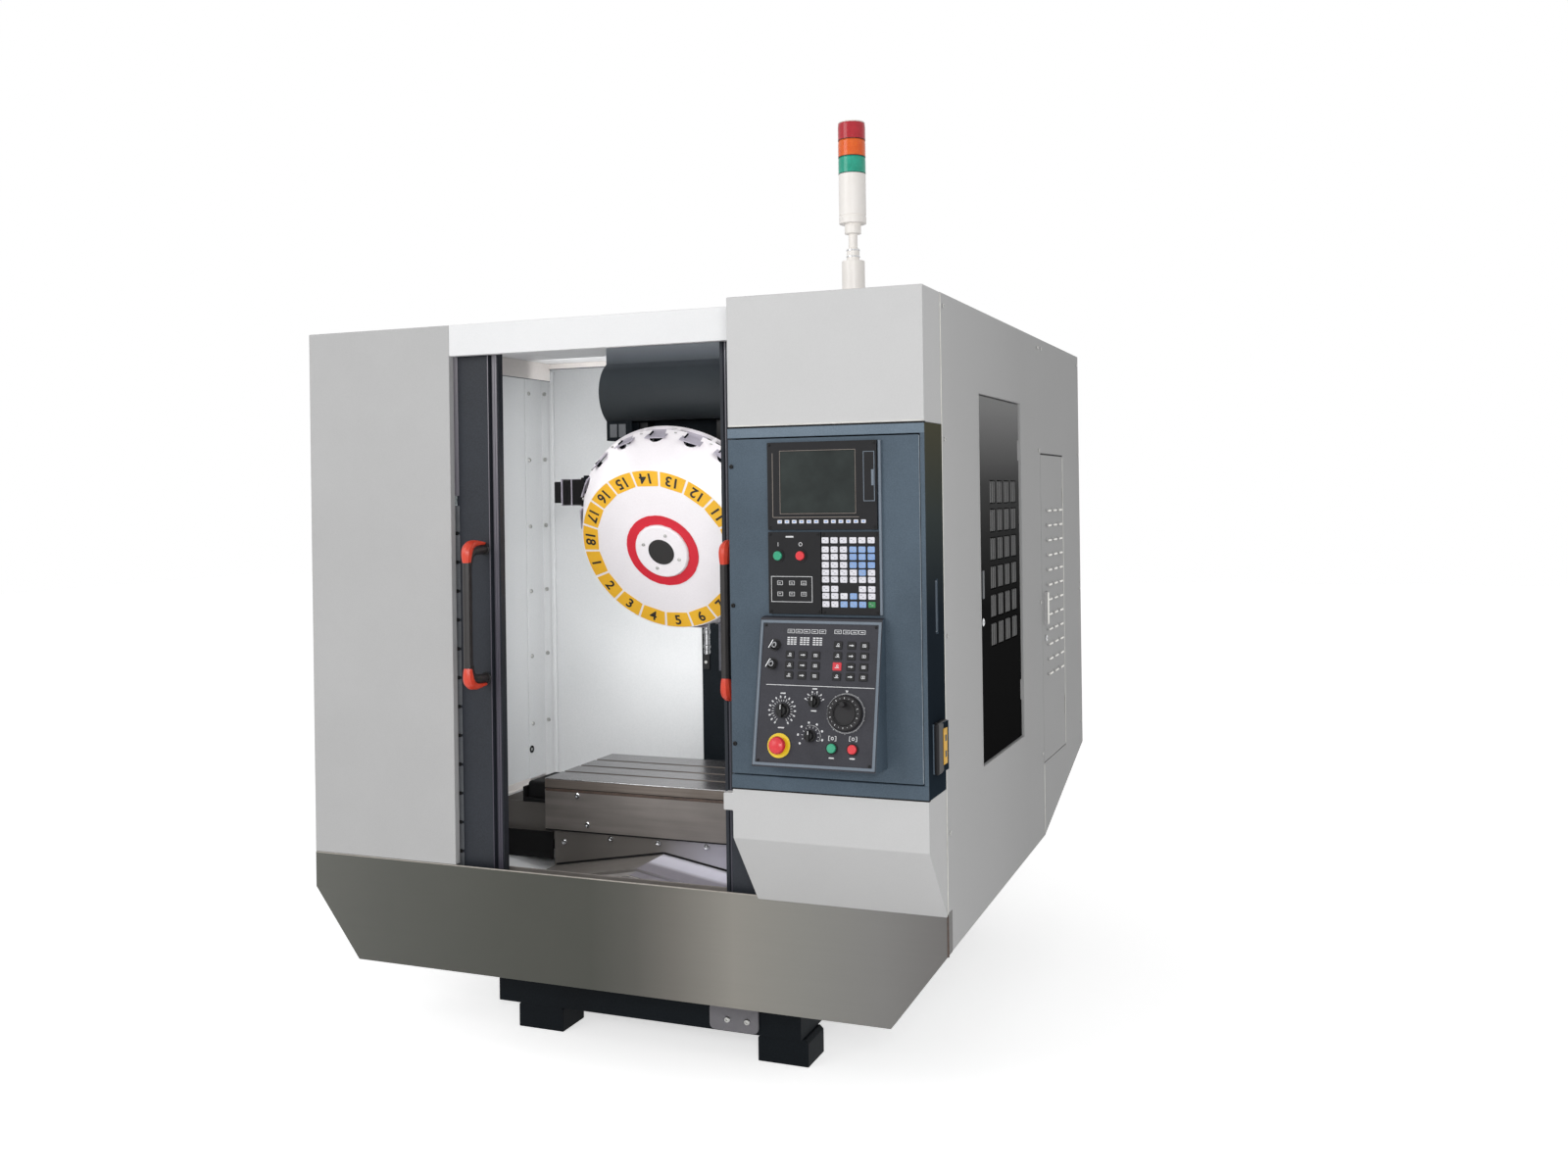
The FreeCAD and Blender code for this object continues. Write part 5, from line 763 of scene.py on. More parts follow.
done(on(FLAT, nozzle, -14, -75), "coolant_nozzle", GROUND_STEEL, "head")
done(on(FLAT, turned([(24, 1392), (24, 1400), (20, 1404)], 20), -14, -75), "coolant_flange", MOTOR_BLACK, "head")


# ---------------------------------------------------------------- tool turret
def round_turret(turn=0.0):
    """Places of the pockets, the first at the bottom, all turned on by some degrees."""
    return [TURRET @ at(0, 0, turn=360 / POCKETS * i + turn) for i in range(POCKETS)]


rim_ring = ring(315.5, 326.5, -163.5, -160, 108)
ties = repeated(block(-6, 315.5, -160.5, 6, 323.5, -138, 1, 1),
                [at(0, 0, turn=360 / POCKETS * (i + 0.5)) for i in range(POCKETS)])
done(settle(joined([rim_ring, ties]), TURRET), "turret_rear_ring", TURRET_WHITE, "turret")
# a sheet in each notch, its lilac grey the painted shade inside the notch
liner = slanted(-33, -300.5, -162.5, 33, -297.5, -99, lambda co: co.z < -0.15, (0, -16.5, 0), 0.8)
done(repeated(liner, round_turret()), "notch_shade_liners", NOTCH_GREY, "turret")
hook = joined([block(19.5, -321.5, -140, 23.5, -301, -114, 1.2), block(16.5, -312, -118, 23.5, -306, -112, 1.2)])
done(repeated(hook, round_turret()), "notch_springs", CAST_PAINT, "turret")
numbers = []
for index, pocket in enumerate(round_turret()):
    number = lettering(str((index + 4) % POCKETS + 1), 44, 0.3, 0.9)
    number.matrix_world = pocket @ at(0, -233.5, 1.5)
    numbers.append(settle(number))
done(joined(numbers), "turret_numbers", MARK_BLACK, "turret")
done(on(TURRET, ring(85.2, 114, 0.5, 2.2, 72, wobble=1.1)), "hub_red_band", RING_RED, "turret")
screws("hub_screws", 5.2, [TURRET @ at(0, 0, turn=turn) @ at(58, 0, 9.6, -turn) for turn in (65, 155, -25, -115)],
       "turret")
screws("cone_rim_screws", 4.2, [place @ at(0, -321, -128) @ Matrix.Rotation(math.radians(115.2), 4, "X")
                                for place in round_turret(10)], "turret")
# turret motor: light seams, and a bracket towards the turret
(x0, y0, z0), (x1, y1, z1) = (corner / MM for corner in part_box("turret_motor"))
bars("turret_motor_straps", NOTCH_GREY, [(x, y0 + 3.5, z0 + 3.5, x + 4, y1 - 3.5, z1 - 3.5)
                                         for x in (x1 - 52, x1 - 88)], 1.5, 2, "turret_carrier")
bars("turret_motor_bracket", LINING_WARM, [(x1 + 13, y0 + 6, z0 + 2, x1 + 19, y1 - 6, z1 - 12),
                                           (x1 + 13, y0 + 6, z0 - 4, x1 + 60, y0 + 12, z1 - 30)],
     body="turret_carrier")

# ---------------------------------------------------------------- sliding doors and their handles
# points of a handle's end, as (inwards from the bar, back from it, in from the end), and the radius at each
CAP = (((0, 0, 60), 12), ((0, -2, 40), 15), ((0, 4, 16), 16), ((2, 28, 6), 10.5), ((6, 54, 6), 6), ((8, 75, 8), 4))
ELBOW = (((0, 3, 66), 12.8), ((0, 4, 44), 13.2), ((2, 20, 27), 13.5), ((6, 50, 24), 13), ((8, 75, 24), 13))
DOOR_FACE = facing("front", DOOR_FRONT)


def ends(line, bar_x, bar_y, away):
    """Both ends of a handle, along a line of points."""
    return joined([tube([(bar_x - away * x, bar_y + y, end - up * z) for (x, y, z), radius in line],
                        [radius for point, radius in line]) for end, up in ((1414, 1), (1008, -1))])


def upright(x0, x1, y0, y1, z0, z1, edge=1.5, segments=2):
    """Upright bar between two values of x in any order, y counted from the door's front."""
    return block(min(x0, x1), DOOR_FRONT + y0, z0, max(x0, x1), DOOR_FRONT + y1, z1, edge, segments)


# lead is the leading edge of a leaf, and away the direction from it to the leaf's other edge
for side, lead, away in (("left", -334, -1), ("right", 343, 1)):
    body = side + "_door"
    bar_x, bar_y = lead + away * 48, DOOR_FRONT - 75
    grip = tube([(bar_x, bar_y, z) for z in (1060, 1150, 1270, 1362)], [12.5] * 4)
    done(settle(grip), side + "_handle_bar", HANDLE_BLACK, body)
    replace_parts(done(ends(CAP, bar_x, bar_y, away), side + "_handle_caps", HANDLE_RED, body), side + "_door_handle")
    done(ends(ELBOW, bar_x, bar_y, away), side + "_handle_elbows", HANDLE_BLACK, body)
    foot = turned([(16.5, 0), (16.5, 3), (14, 5)], 20)
    done(repeated(foot, spots(DOOR_FACE, ((bar_x - away * 8,), (1032, 1390)))), side + "_handle_feet", KNOB_BLACK, body)
    # seal at the leading edge: on the left leaf it takes the painted violet edge highlight
    lip = upright(lead + away * 3.5, lead + away * 18.5, 12.5, 16, 486, 1944)
    bead = upright(lead + away * 9, lead + away * 13, 9.5, 13, 486, 1944, 1.5, 3)
    done(joined([lip, bead]), side + "_door_seal", EDGE_VIOLET_HIGHLIGHT if side == "left" else SEAL_DARK, body)
    # a trim and a strip on each leaf, in the painted edge highlight
    trim_x = lead + away * 23 - 1.5
    trim = upright(trim_x, trim_x + 2.4, -0.6, 1, 482, 1948, 0.5, 1)
    strip = upright(lead + away * 122, lead + away * 140, -1.5, 1, 1540, 1948, 1)
    done(joined([trim, strip]), side + "_door_edge_highlights", EDGE_VIOLET_HIGHLIGHT, body)
    x0, x1 = sorted((lead + away * 130, lead + away * 420))
    gasket = frame_of(x0 - 10, 890, x1 + 10, 1710, 16, 0, 4)
    done(on(facing("front", DOOR_FRONT + 22), gasket), side + "_window_gasket", RUBBER, body)
    slat_x = (lead + away * 131,)
    done(repeated(plate(-10.5, -37.5, 10.5, 37.5, 0, 2.5, 4, 0.8), spots(DOOR_FACE, (slat_x, range(503, 1476, 81)))),
         side + "_door_slats", SLAT_GREY, body)
    done(repeated(block(-6, -5, 0, 6, 5, 5, 1.5, 1), spots(DOOR_FACE, (slat_x, [543.5 + 81 * i for i in range(12)]))),
         side + "_slat_links", RUBBER, body)
screws("ledge_screws", 4.5, spots(facing("up", 480), (range(-880, 900, 160), (-772,))))

# ---------------------------------------------------------------- table, skirt and saddle
screws("skirt_screws", 8.5, spots(facing("front", -424), ((-283,), (642,)), ((-250,), (558,)), ((262,), (642, 558))),
       "table", CHROME)
bars("table_gap_line", RUST, [(-394, -424.6, 651, 302, -422.5, 659)], 0.6, 1, "table")
bars("skirt_lower_lip", RUBBER, [(-395, -424.6, 533.5, 303, -422.5, 537.5)], 0.6, 1, "table")
# painted highlight along the top edge of the table front
bars("table_arris_highlight", GROUND_STEEL, [(-394, -424.8, 686.5, 302, -422.5, 688.5)], 0.6, 1, "table")
bars("saddle_scraper", RUBBER, [(-576, -406.5, 441, -380, -400.5, 523.5)], 3, body="saddle")
screws("saddle_plate_screws", 8.5, spots(facing("front", -418), ((-333, 290), (500,)), ((-176, -19, 136), (521,))),
       "saddle", CHROME)
SLOPE = math.atan(0.171)
RISE, RUN = math.sin(SLOPE), math.cos(SLOPE)


def gable(corner, low, high, thick, y, ridge, half, upright):
    """Two bars that meet at a ridge: standing on a front face, or lying on the two slopes."""
    parts = []
    for side in (-1, 1):
        up = (side * RISE, 0, RUN) if upright else (0, 1, 0)
        x0, x1 = sorted((0, side * half / RUN))
        parts.append(settle(plate(x0, low, x1, high, 0, thick, corner, 0),
                            plane_at((CENTRE_X, y, ridge), (RUN, 0, -side * RISE), up)))
    return joined(parts)


# dark strip along the gable edge of the saddle sheet: a painted shadow line
done(gable(1, 0, 5.5, 1.6, -418, 490.5, 360, True), "saddle_gable_shadow_strip", RUBBER, "saddle")
for node, body, y, ridge in (("middle", "cover_middle", -638.5, 482.2), ("inner", "cover_inner", -689.5, 474.2),
                             ("front", "machine", -739.5, 466.2)):
    # rims of the cover sheets in the painted edge highlight, each with a grey seam
    done(gable(0.5, -1.2, 1.6, 1, y, ridge, 345, False), "cover_%s_rim" % node, BRIGHT_EDGE_HIGHLIGHT, body)
    done(gable(0.5, 5, 6.8, 0.6, y, ridge, 345, False), "cover_%s_rim_seam" % node, SKIRT_STEEL, body)
bars("table_end_wiper", RUBBER, [(-492, -395, 606, -396, -150, 618), (-492, -395, 606, -484, -190, 652),
                                 (-478, -388, 616, -396, -230, 668, 8, 3)], 3, body="table")
done(on(facing("right", 304), plate(-380, 600, -50, 650, 0, 6, 10, 1)), "table_right_wiper", RUBBER, "table")
done(repeated(bolt(5), spots(facing("left", -396), (range(60, 271, 70), (668,)))), "table_end_bolts", ZINC, "table")

# ---------------------------------------------------------------- apron, base and feet
# painted highlight along the apron's lip
bars("apron_lip_highlight", SILL_EDGE_HIGHLIGHT, [(-948, FRONT - 0.6, 506.5, 948, FRONT + 3, 510)], 0.8)
BED_FRONT = facing("front", -600)
done(on(BED_FRONT, plate(226, 79, 370, 150, 0, 8, 14, 1)), "base_front_plate", GRIPPER_GREY)
screws("base_plate_screws", 8.5, spots(BED_FRONT, ((280, 338), (110,)), z=8))
BED_LEFT, BED_RIGHT = facing("left", -450), facing("right", 490)
done(repeated(ring(26, 44, 0, 8, 32), spots(BED_LEFT, ((430, -620), (240,))) + spots(BED_RIGHT, ((-430, 620), (240,)))),
     "lifting_hole_rings", CAST_PAINT)
done(repeated(bolt(11), spots(BED_LEFT, ((0,), (150, 240))) + spots(BED_RIGHT, ((0,), (150, 240)))), "base_side_bolts",
     ZINC)

# ---------------------------------------------------------------- console body
DOOR = "console_door"
LIP = HALF_WIDTH + 1.2
# upper band of the console, in the paler coat that paints the light it catches
bars("console_upper_band", BAND_GREY_LIT, [(CAB_LEFT, CONSOLE_FRONT - 2, 1669.5, CAB_RIGHT, CONSOLE_FRONT + 2, 1693)], 1.5)
bars("console_lower_band", BLUE_GREY, [(CAB_LEFT, CONSOLE_FRONT - 2, 814, CAB_RIGHT, CONSOLE_FRONT + 2, 846.5)], 1.5)
bars("console_seams", RUBBER, [(CAB_LEFT - 1, CONSOLE_FRONT - 1.2, z - 2, CAB_RIGHT + 1, CONSOLE_FRONT + 10, z + 2)
                               for z in (812.5, 1695)], 0.8, 1)
# painted highlight down the console door's edge
bars("console_door_edge_highlight", BLUE_EDGE_HIGHLIGHT, [(936.2, CONSOLE_FRONT - 1.6, 851.5, 937.8, CONSOLE_FRONT + 4, 1664.5)],
     0.6, 1, DOOR)
screws("console_edge_screws", 5.5, spots(facing("front", CONSOLE_FRONT), ((459,), (922, 1260, 1600)), z=0.2), DOOR,
       KNOB_BLACK)
done(on(facing("right", 944.5), frame_of(-8.5, -61, 8.5, 61, 2.5, 0, 4), -849, 1259), "console_grip_lip", RIM_GREY)
bars("service_port_case", CONTROL_BLACK, [(949, -897.5, 866, 964, -814, 987)], 5, 3)
bars("service_port_plate", PLATE_YELLOW, [(962.5, -856, 884, 965.5, -822, 970)], 1)
bars("service_port_sockets", KNOB_BLACK, [(963, -847, z - 8, 965.8, -831, z + 8) for z in (908, 946)])
# painted highlight along the front edge of the side panel
bars("side_panel_seam_highlight", BRIGHT_EDGE_HIGHLIGHT, [(HALF_WIDTH - 2, FRONT - 1.5, 508, LIP, FRONT + 1.5, 2013)], 0.6, 1)
bars("apron_end_gap", RUST, [(HALF_WIDTH - 3, FRONT - 2, 404, HALF_WIDTH + 1.4, FRONT + 2.2, 506)], 0.6, 1)
# painted highlight along the hem of the top box
bars("top_box_hem", BRIGHT_EDGE_HIGHLIGHT, [(CAB_LEFT + 2, CONSOLE_FRONT - 0.8, 1698.5, CAB_RIGHT - 2, CONSOLE_FRONT + 2, 1700.5)],
     0.4, 1)

# ---------------------------------------------------------------- display, keyboard and power panel
ROWS = (1420, 1398, 1380.5, 1361.5, 1343.5, 1326.5, 1304.5, 1287.5, 1268)
COLUMNS = (704.5, 727, 750.2, 774.3, 796.8, 819.6)
# rows of white, blue, pale and green keys from the top
KEYS = ("wwwwww", "wwwbbb", "wwwbbb", "wwwbbb", "wwwwbw", "wwwwww", "ll  ll", "lllbll", "wlbbbg")
keyboard = [(key, x, z) for z, row in zip(ROWS, KEYS) for x, key in zip(COLUMNS, row) if key != " "]
for code, name, material in (("w", "keyboard_white_keys", KEY_WHITE), ("b", "keyboard_blue_keys", KEY_BLUE),
                             ("l", "keyboard_pale_keys", KEY_WHITE), ("g", "keyboard_green_key", KEY_GREEN)):
    done(repeated(plate(-8.8, -7.2, 8.8, 7.2, -1, 2.2, 2.2, 0.6),
                  [UNITS @ at(x, z) for key, x, z in keyboard if key == code]), name, material, DOOR)
done(repeated(plate(-2.1, -0.8, 2.1, 0.8, 0, 0.2, 0.3, 0), [UNITS @ at(x + dx, z + dz, 2.15) for key, x, z in keyboard
                                                         for dx, dz in ((-3.4, 2.2), (1.8, -1.6))]),
     "keyboard_key_marks", MARK_GREY, DOOR)
SOFT_KEYS = [588.5 + 18.8 * i + (6 if i > 5 else 0) for i in range(12)]
done(repeated(plate(-5.8, -4.2, 5.8, 4.2, -1, 1.6, 1, 0.4), spots(UNITS, (SOFT_KEYS, (1464.7,)))),
     "display_soft_keys", KEY_WHITE, DOOR)
done(repeated(plate(-3.2, -1.9, 3.2, 1.9, 0, 0.2, 0.4, 0), spots(UNITS, (SOFT_KEYS, (1464.7,)), z=1.6)),
     "display_soft_key_marks", KEY_BLUE, DOOR)
done(on(UNITS, plate(591.5, 1485.5, 780.5, 1633.5, -1.4, 0.2, 1, 0.3)), "screen_glass", SCREEN_GLASS, DOOR)
lines = [plate(570, 1475.2, 571.6, 1630, 0, 0.4, 0.3, 0), plate(571.6, 1474.5, 790, 1476, 0, 0.4, 0.3, 0),
         frame_of(589.3, 1483.3, 782.7, 1635.7, 1.3, 0, 0.5)]
done(on(UNITS, joined(lines)), "display_frame_lines", FRAME_LINE, DOOR)
card = [frame_of(802.5, 1512, 830.5, 1630, 1.6, 0, 2.2), plate(822.5, 1549, 828.5, 1587, 1.2, 3.2, 1, 0.4)]
done(on(UNITS, joined(card)), "card_door_details", RIM_GREY, DOOR)
bars("unit_right_bezel", RIM_GREY, [(838.5, CONSOLE_FRONT - 7.5, 1243, 845, CONSOLE_FRONT + 1, 1656)], 1.5,
     body=DOOR)
screws("unit_screws", 3.2, spots(UNITS, ((563, 829), (1451, 1650)), ((563, 686, 700, 833), (1249, 1434))), DOOR,
       KNOB_BLACK)
marks = [plate(582.3, 1406, 583.7, 1415, 0, 0.4, 0.3, 0), plate(603, 1426.5, 623, 1430.5, 0, 0.4, 0.3, 0),
         on(FLAT, ring(3.4, 4.8, 0, 0.4, 20), 641, 1410.5), frame_of(564, 1271.5, 670, 1333.5, 1.3, 0, 0.4)]
for column, x in enumerate((587, 617.5, 648)):
    for row, z in enumerate((1317.5, 1291)):
        marks += [frame_of(x - 7, z - 5, x + 7, z + 5, 1.1, 0, 0.4),
                  plate(x - 4, z - 1.2 + row, x + 2 + column, z + 0.2 + row, 0, 0.4, 0.3, 0)]
done(on(UNITS, joined(marks)), "power_panel_marks", MARK_WHITE, DOOR)
done(repeated(ring(11.5, 15.5, 0, 2.2, 32), spots(UNITS, ((583, 641), (1383,)))), "power_button_collars", KNOB_BLACK,
     DOOR)


# ---------------------------------------------------------------- operator panel
def ink(x0, y0, x1, y1, z=0, corner=0.3):
    """Printed bar on XY."""
    return plate(x0, y0, x1, y1, z, z + 0.3, corner, 0)


done(on(OPERATOR, soften(frame_of(-152.5, 3.5, 152.5, 347.5, 7, -1, 2.2), 1.2)), "operator_rim", RIM_GREY, DOOR)
marks = [ink(-130, 192.5, 142, 194)]
for xs, y, inset in (((-74, -54, -34, -13.5, 6.5), 322, 4.5), ((45, 66, 86, 105), 322.6, 3.5)):
    for x in xs:
        marks += [frame_of(x - 8.6, y - 4.8, x + 8.6, y + 4.8, 1.2, 0, 0.3),
                  ink(x - inset, y - 1, x - inset + 8, y + 0.8)]
marks += [ink(x + part * 8.4, y, x + part * 8.4 + 6.6, y + 3.1) for x in (-82, -49.5, -17)
          for y in (289.5, 294.6, 299.7, 304.8) for part in range(3)]
done(on(OPERATOR, joined(marks)), "operator_marks", MARK_WHITE, DOOR)
OPERATOR_KEYS = [(x, y) for y in (265.5, 241, 217) for x in (-73, -40, -7)]
OPERATOR_KEYS += [(x, y) for y in (291, 266, 241, 217.5) for x in (47.5, 81, 113.5)]
RED_KEY = (47.5, 241)
done(repeated(plate(-10.5, -9.2, 10.5, 9.2, -1, 2.4, 2), [OPERATOR @ at(*spot) for spot in OPERATOR_KEYS
                                                       if spot != RED_KEY]), "operator_keys", KNOB_BLACK, DOOR)
done(on(OPERATOR, plate(-11, -9.6, 11, 9.6, -1, 2.4, 2), *RED_KEY), "operator_red_key", KEY_RED, DOOR)
KEY_TOP = 2.4
icons = []
for number, (x, y) in enumerate(OPERATOR_KEYS):
    if number % 3 == 0:
        icons += [on(FLAT, ring(1.6, 3, 0, 0.3, 12), x + 1, y + 1.6, KEY_TOP),
                  ink(x - 5, y - 3.6, x + 5, y - 1.8, KEY_TOP)]
    elif number % 3 == 1:
        icons += [ink(x - 5.5, y - 1, x + 1.5, y + 1.2, KEY_TOP),
                  on(FLAT, turned([(3.4, 0), (3.4, 0.3)], 3), x + 3.4, y + 0.1, KEY_TOP, -90)]
    else:
        icons += [frame_of(x - 4.6, y - 3.4, x + 4.6, y + 3.4, 1.2, KEY_TOP, KEY_TOP + 0.3),
                  ink(x - 1, y - 2.4, x + 1, y + 2.4, KEY_TOP)]
done(on(OPERATOR, joined(icons)), "operator_key_icons", MARK_WHITE, DOOR)


def ticks(radius, length, width, first, last, count, long_every=0):
    """Marks of a dial on XY, from one angle to another, counted from the top clockwise."""
    places = []
    for index in range(count):
        angle = first + (last - first) * index / (count - 1)
        stretch = 1.6 if long_every and index % long_every == 0 else 1.0
        places.append(at(0, 0, turn=-angle) @ at(0, radius) @ Matrix.Diagonal((1, stretch, 1, 1)))
    return repeated(ink(-width / 2, 0, width / 2, length, 0, width * 0.2), places)


FEED, RAPID, MODE, WHEEL = (-85, 133), (-5, 157), (-10, 77), (75, 133)
dials = [on(FLAT, ticks(*scale), *centre) for centre, scale in (
    (FEED, (21.5, 4.5, 1.2, -150, 150, 22, 3)), (FEED, (30, 5.5, 3.4, -150, 150, 16)),
    (RAPID, (20.5, 5, 3, -75, 75, 6)), (RAPID, (17, 3, 1.2, -80, 80, 9)), (MODE, (18.5, 4, 1.2, -110, 120, 10)),
    (MODE, (29, 4.5, 5.2, -125, 105, 7)), (MODE, (24.5, 1, 3.4, -20, 115, 22)), (WHEEL, (44, 3, 1, 0, 356.4, 100, 10)))]
# captions under the dials and buttons, and the bracketed signs over the two buttons
dials += [ink(x - wide / 2, y - 1.5, x + wide / 2, y + 1.5, 0, 0.8) for x, y, wide in
          ((-85, 174, 13), (-85, 93, 16), (-5, 187, 12), (-5, 135.5, 14), (45, 29, 13), (96, 30, 13))]
for x, y in ((45, 74), (96, 75)):
    for s in (-1, 1):
        dials.append(ink(x + s * 9 - 0.8, y - 6, x + s * 9 + 0.8, y + 6))
        dials += [ink(x + s * 7.4 - 1.8, y + v * 5.3 - 0.7, x + s * 7.4 + 1.8, y + v * 5.3 + 0.7) for v in (-1, 1)]
    dials.append(on(FLAT, ring(2.2, 3.8, 0, 0.3, 16), x, y))
dials.append(on(FLAT, turned([(4.2, 0), (4.2, 0.3)], 3), 75, 184, 0, 180))
done(on(OPERATOR, joined(dials)), "operator_dial_marks", MARK_WHITE, DOOR)
for node, x, y, length, outer in (("feed_knob", -83, 133, 13, 16.5), ("rapid_knob", *RAPID, 10, 13.6),
                                  ("mode_knob", *MODE, 10, 13.6)):
    done(on(OPERATOR, plate(-1.1, 2, 1.1, length, 0, 0.4, 0.5, 0), x, y, 19), node + "_pointer", MARK_WHITE, node)
    done(on(OPERATOR, ring(12.5, outer, 0.2, 1, 32), x, y, 4.6), node + "_skirt_line", WHEEL_GREY, node)
wheel_marks = [on(OPERATOR, ticks(*scale), *WHEEL, 15.9) for scale in ((32.5, 4.2, 1.4, 0, 324, 10),
                                                                       (33.5, 2.2, 0.9, 18, 342, 10))]
done(joined(wheel_marks), "handwheel_marks", MARK_WHITE, "handwheel")
done(on(OPERATOR, ring(26.5, 28.5, 11, 15), *WHEEL), "handwheel_dish_edge", KNOB_BLACK, "handwheel")
for node, x in (("cycle_start", 45), ("feed_hold", 96)):
    done(on(OPERATOR, ring(11.6, 14.5, 0, 2.2, 32), x, 51), node + "_collar", KNOB_BLACK, DOOR)
for node, x, y in (("key_switch_a", -113, 288), ("key_switch_b", -118, 243)):
    bow = on(OPERATOR, block(-1.5, -11.5, 10.5, 1.5, 11.5, 28.5, 1.2), x, y, 0, -28)
    done(joined([bow, on(OPERATOR, ring(5, 8, 1, 11.2, 24), x, y)]), node + "_bow", CHROME, node)
    done(on(OPERATOR, ring(11.2, 15, 0, 1.6, 32), x, y), node + "_collar", KNOB_BLACK, DOOR)
screws("operator_screws", 3.4, spots(OPERATOR, ((-139, 139), (335, 15)), z=0.2), DOOR, KNOB_BLACK)

# ---------------------------------------------------------------- right side: vented door and cabinet door
SIDE_FACE = facing("right", HALF_WIDTH - 6)
slat_places = [SIDE_FACE @ at(-243 + column * 86 + dy, 1530 - row * 79) for row in range(6) for column in range(4)
               for dy in (-22.5, 0, 22.5)]
done(repeated(block(-8.5, -31, -13.5, 8.5, 31, -1.5, 4), slat_places), "vent_slats", SLAT_DARK, "side_door")
bars("vent_mesh_plate", MOTOR_BLACK, [(926.2, -290, 1085, 927.8, 66, 1575)], 0.6, 1, "side_door")
bars("side_door_pull_plate", SLAT_GREY, [(947, -390.5, 1243, 949.7, -373.5, 1319)], 1.2, 2, "side_door")
lock = turned([(11, 0), (11, 3), (9, 4.5), (4, 4.5), (4, 2)], 20)
done(on(SIDE_FACE, lock, -381, 1180), "side_door_lock", CHROME, "side_door")
lock = turned([(10, 0), (10, 4), (8, 6), (4, 6), (4, 3)], 20)
done(on(RIGHT_SIDE, lock, 424, 1060), "cabinet_door_lock", CHROME, "cabinet_door")
# painted highlights: a bright dash on each louvre of the cabinet door, and on its latch plate
louvres = spots(RIGHT_SIDE, ((492, 584, 676), range(1468, 939, -48)), z=3)
done(repeated(plate(-26, -3.8, 26, 2.6, 0, 3.4, 2.5, 0.8), louvres), "cabinet_louvre_highlights", BRIGHT_EDGE_HIGHLIGHT, "cabinet_door")
done(on(RIGHT_SIDE, plate(416.5, 1104.5, 440, 1205.5, 9.6, 10.6, 3, 0.4)), "cabinet_latch_plate", BRIGHT_EDGE_HIGHLIGHT,
     "cabinet_door")
bars("cabinet_latch_gap", RUBBER, [(948, 442.5, 1101, LIP, 450, 1209)], 0.6, 1, "cabinet_door")
done(on(RIGHT_SIDE, frame_of(-418.5, 795.5, 93.5, 1796.5, 2.8, -0.5, 1)), "side_window_edge", SIDE_GREY_PAINTED_FALLOFF)
bars("cabinet_top_gap", RUBBER, [(940, 384, 1647.5, 950.8, 742, 1652)], 0.6, 1)
# painted highlights along the seams of the rear side panels
bars("rear_panel_seams", BRIGHT_EDGE_HIGHLIGHT, [(948, 743.5, 672, 951, 746.2, 1644), (948, 378.5, 446, 951, 381, 660)], 0.5, 1)
screws("side_panel_screws", 5.5, spots(RIGHT_SIDE, ((-760, 355, 1040), (700, 1180, 1660, 1985)), ((405,), (1985,))))

# ---------------------------------------------------------------- left side
LEFT_RECESS = facing("left", 6 - HALF_WIDTH)
done(on(LEFT_RECESS, plate(-326, 784, 326, 1796, -2, 4.8, 4, 1.5)), "left_service_door", LIGHT_GREY)
done(on(LEFT_RECESS, plate(-946, 684, -474, 1636, -2, 4.8, 4, 1.5)), "left_rear_door", LIGHT_GREY)
done(repeated(plate(-42, -6, 42, 6, -1, 1.2, 4, 0.8), spots(LEFT_RECESS, ((-810, -710, -610), range(1480, 1127, -44)),
                                                          z=4.8)), "left_louvres", SLAT_GREY)
catches = [plate(x, z, x + 22, z + 100, 4.5, 5.9, 6, 0.5) for x, z in ((-312, 1230), (-520, 1100))]
done(on(LEFT_RECESS, joined(catches)), "left_door_catches", KNOB_BLACK)
screws("left_door_screws", 5, spots(LEFT_RECESS, ((-316, 316), (800, 1290, 1780)), z=2.2))

# ---------------------------------------------------------------- back
BACK_RECESS = facing("back", REAR - 12)
done(on(BACK_RECESS, plate(-16, 764, 736, 1816, -2, 6, 6, 1.5)), "rear_hatch", LIGHT_GREY)
done(on(BACK_RECESS, plate(-776, 764, -164, 1816, -2, 6, 6, 1.5)), "rear_supply_plate", LIGHT_GREY)
done(repeated(plate(-85, -8, 85, 8, -1, 4.2, 7, 1), spots(BACK_RECESS, ((170, 400), range(1000, 1231, 46)), z=6)),
     "rear_louvres", SLAT_GREY)
for name, x in (("rear_fan_left", 190), ("rear_fan_right", 520)):
    guard = [ring(inner, inner + 3.5, 1, 4) for inner in (16, 38, 60, 82, 104)]
    guard += [on(FLAT, block(-105, -1.8, 0, 105, 1.8, 3, 0.8, 1), turn=turn) for turn in (0, 60, 120)]
    guard.append(frame_of(-122, -122, 122, 122, 12, 0, 4.8))
    done(on(BACK_RECESS, joined(guard), x, 1560, 6), name, MOTOR_BLACK)
gland = turned([(20, -1), (20, 2.2), (17, 4.5), (10, 4.5), (9, 1)], 24)
done(repeated(gland, spots(BACK_RECESS, ((-300, -400), (900, 990)), ((-500, -620), (900,)), z=6)), "rear_cable_glands",
     KNOB_BLACK)
done(on(BACK_RECESS, plate(-700, 1120, -480, 1320, 5.5, 8.5, 8, 1)), "rear_valve_plate", ZINC)
done(repeated(turned([(13, 0), (13, 3), (8, 3.5), (7, 1)], 20), spots(BACK_RECESS, ((-540, -590, -640), (1220,)), z=8)),
     "rear_air_ports", CHROME)
screws("rear_screws", 5.2, spots(BACK_RECESS, ((4, 360, 716, -756, -184), (784, 1290, 1796)), z=6))

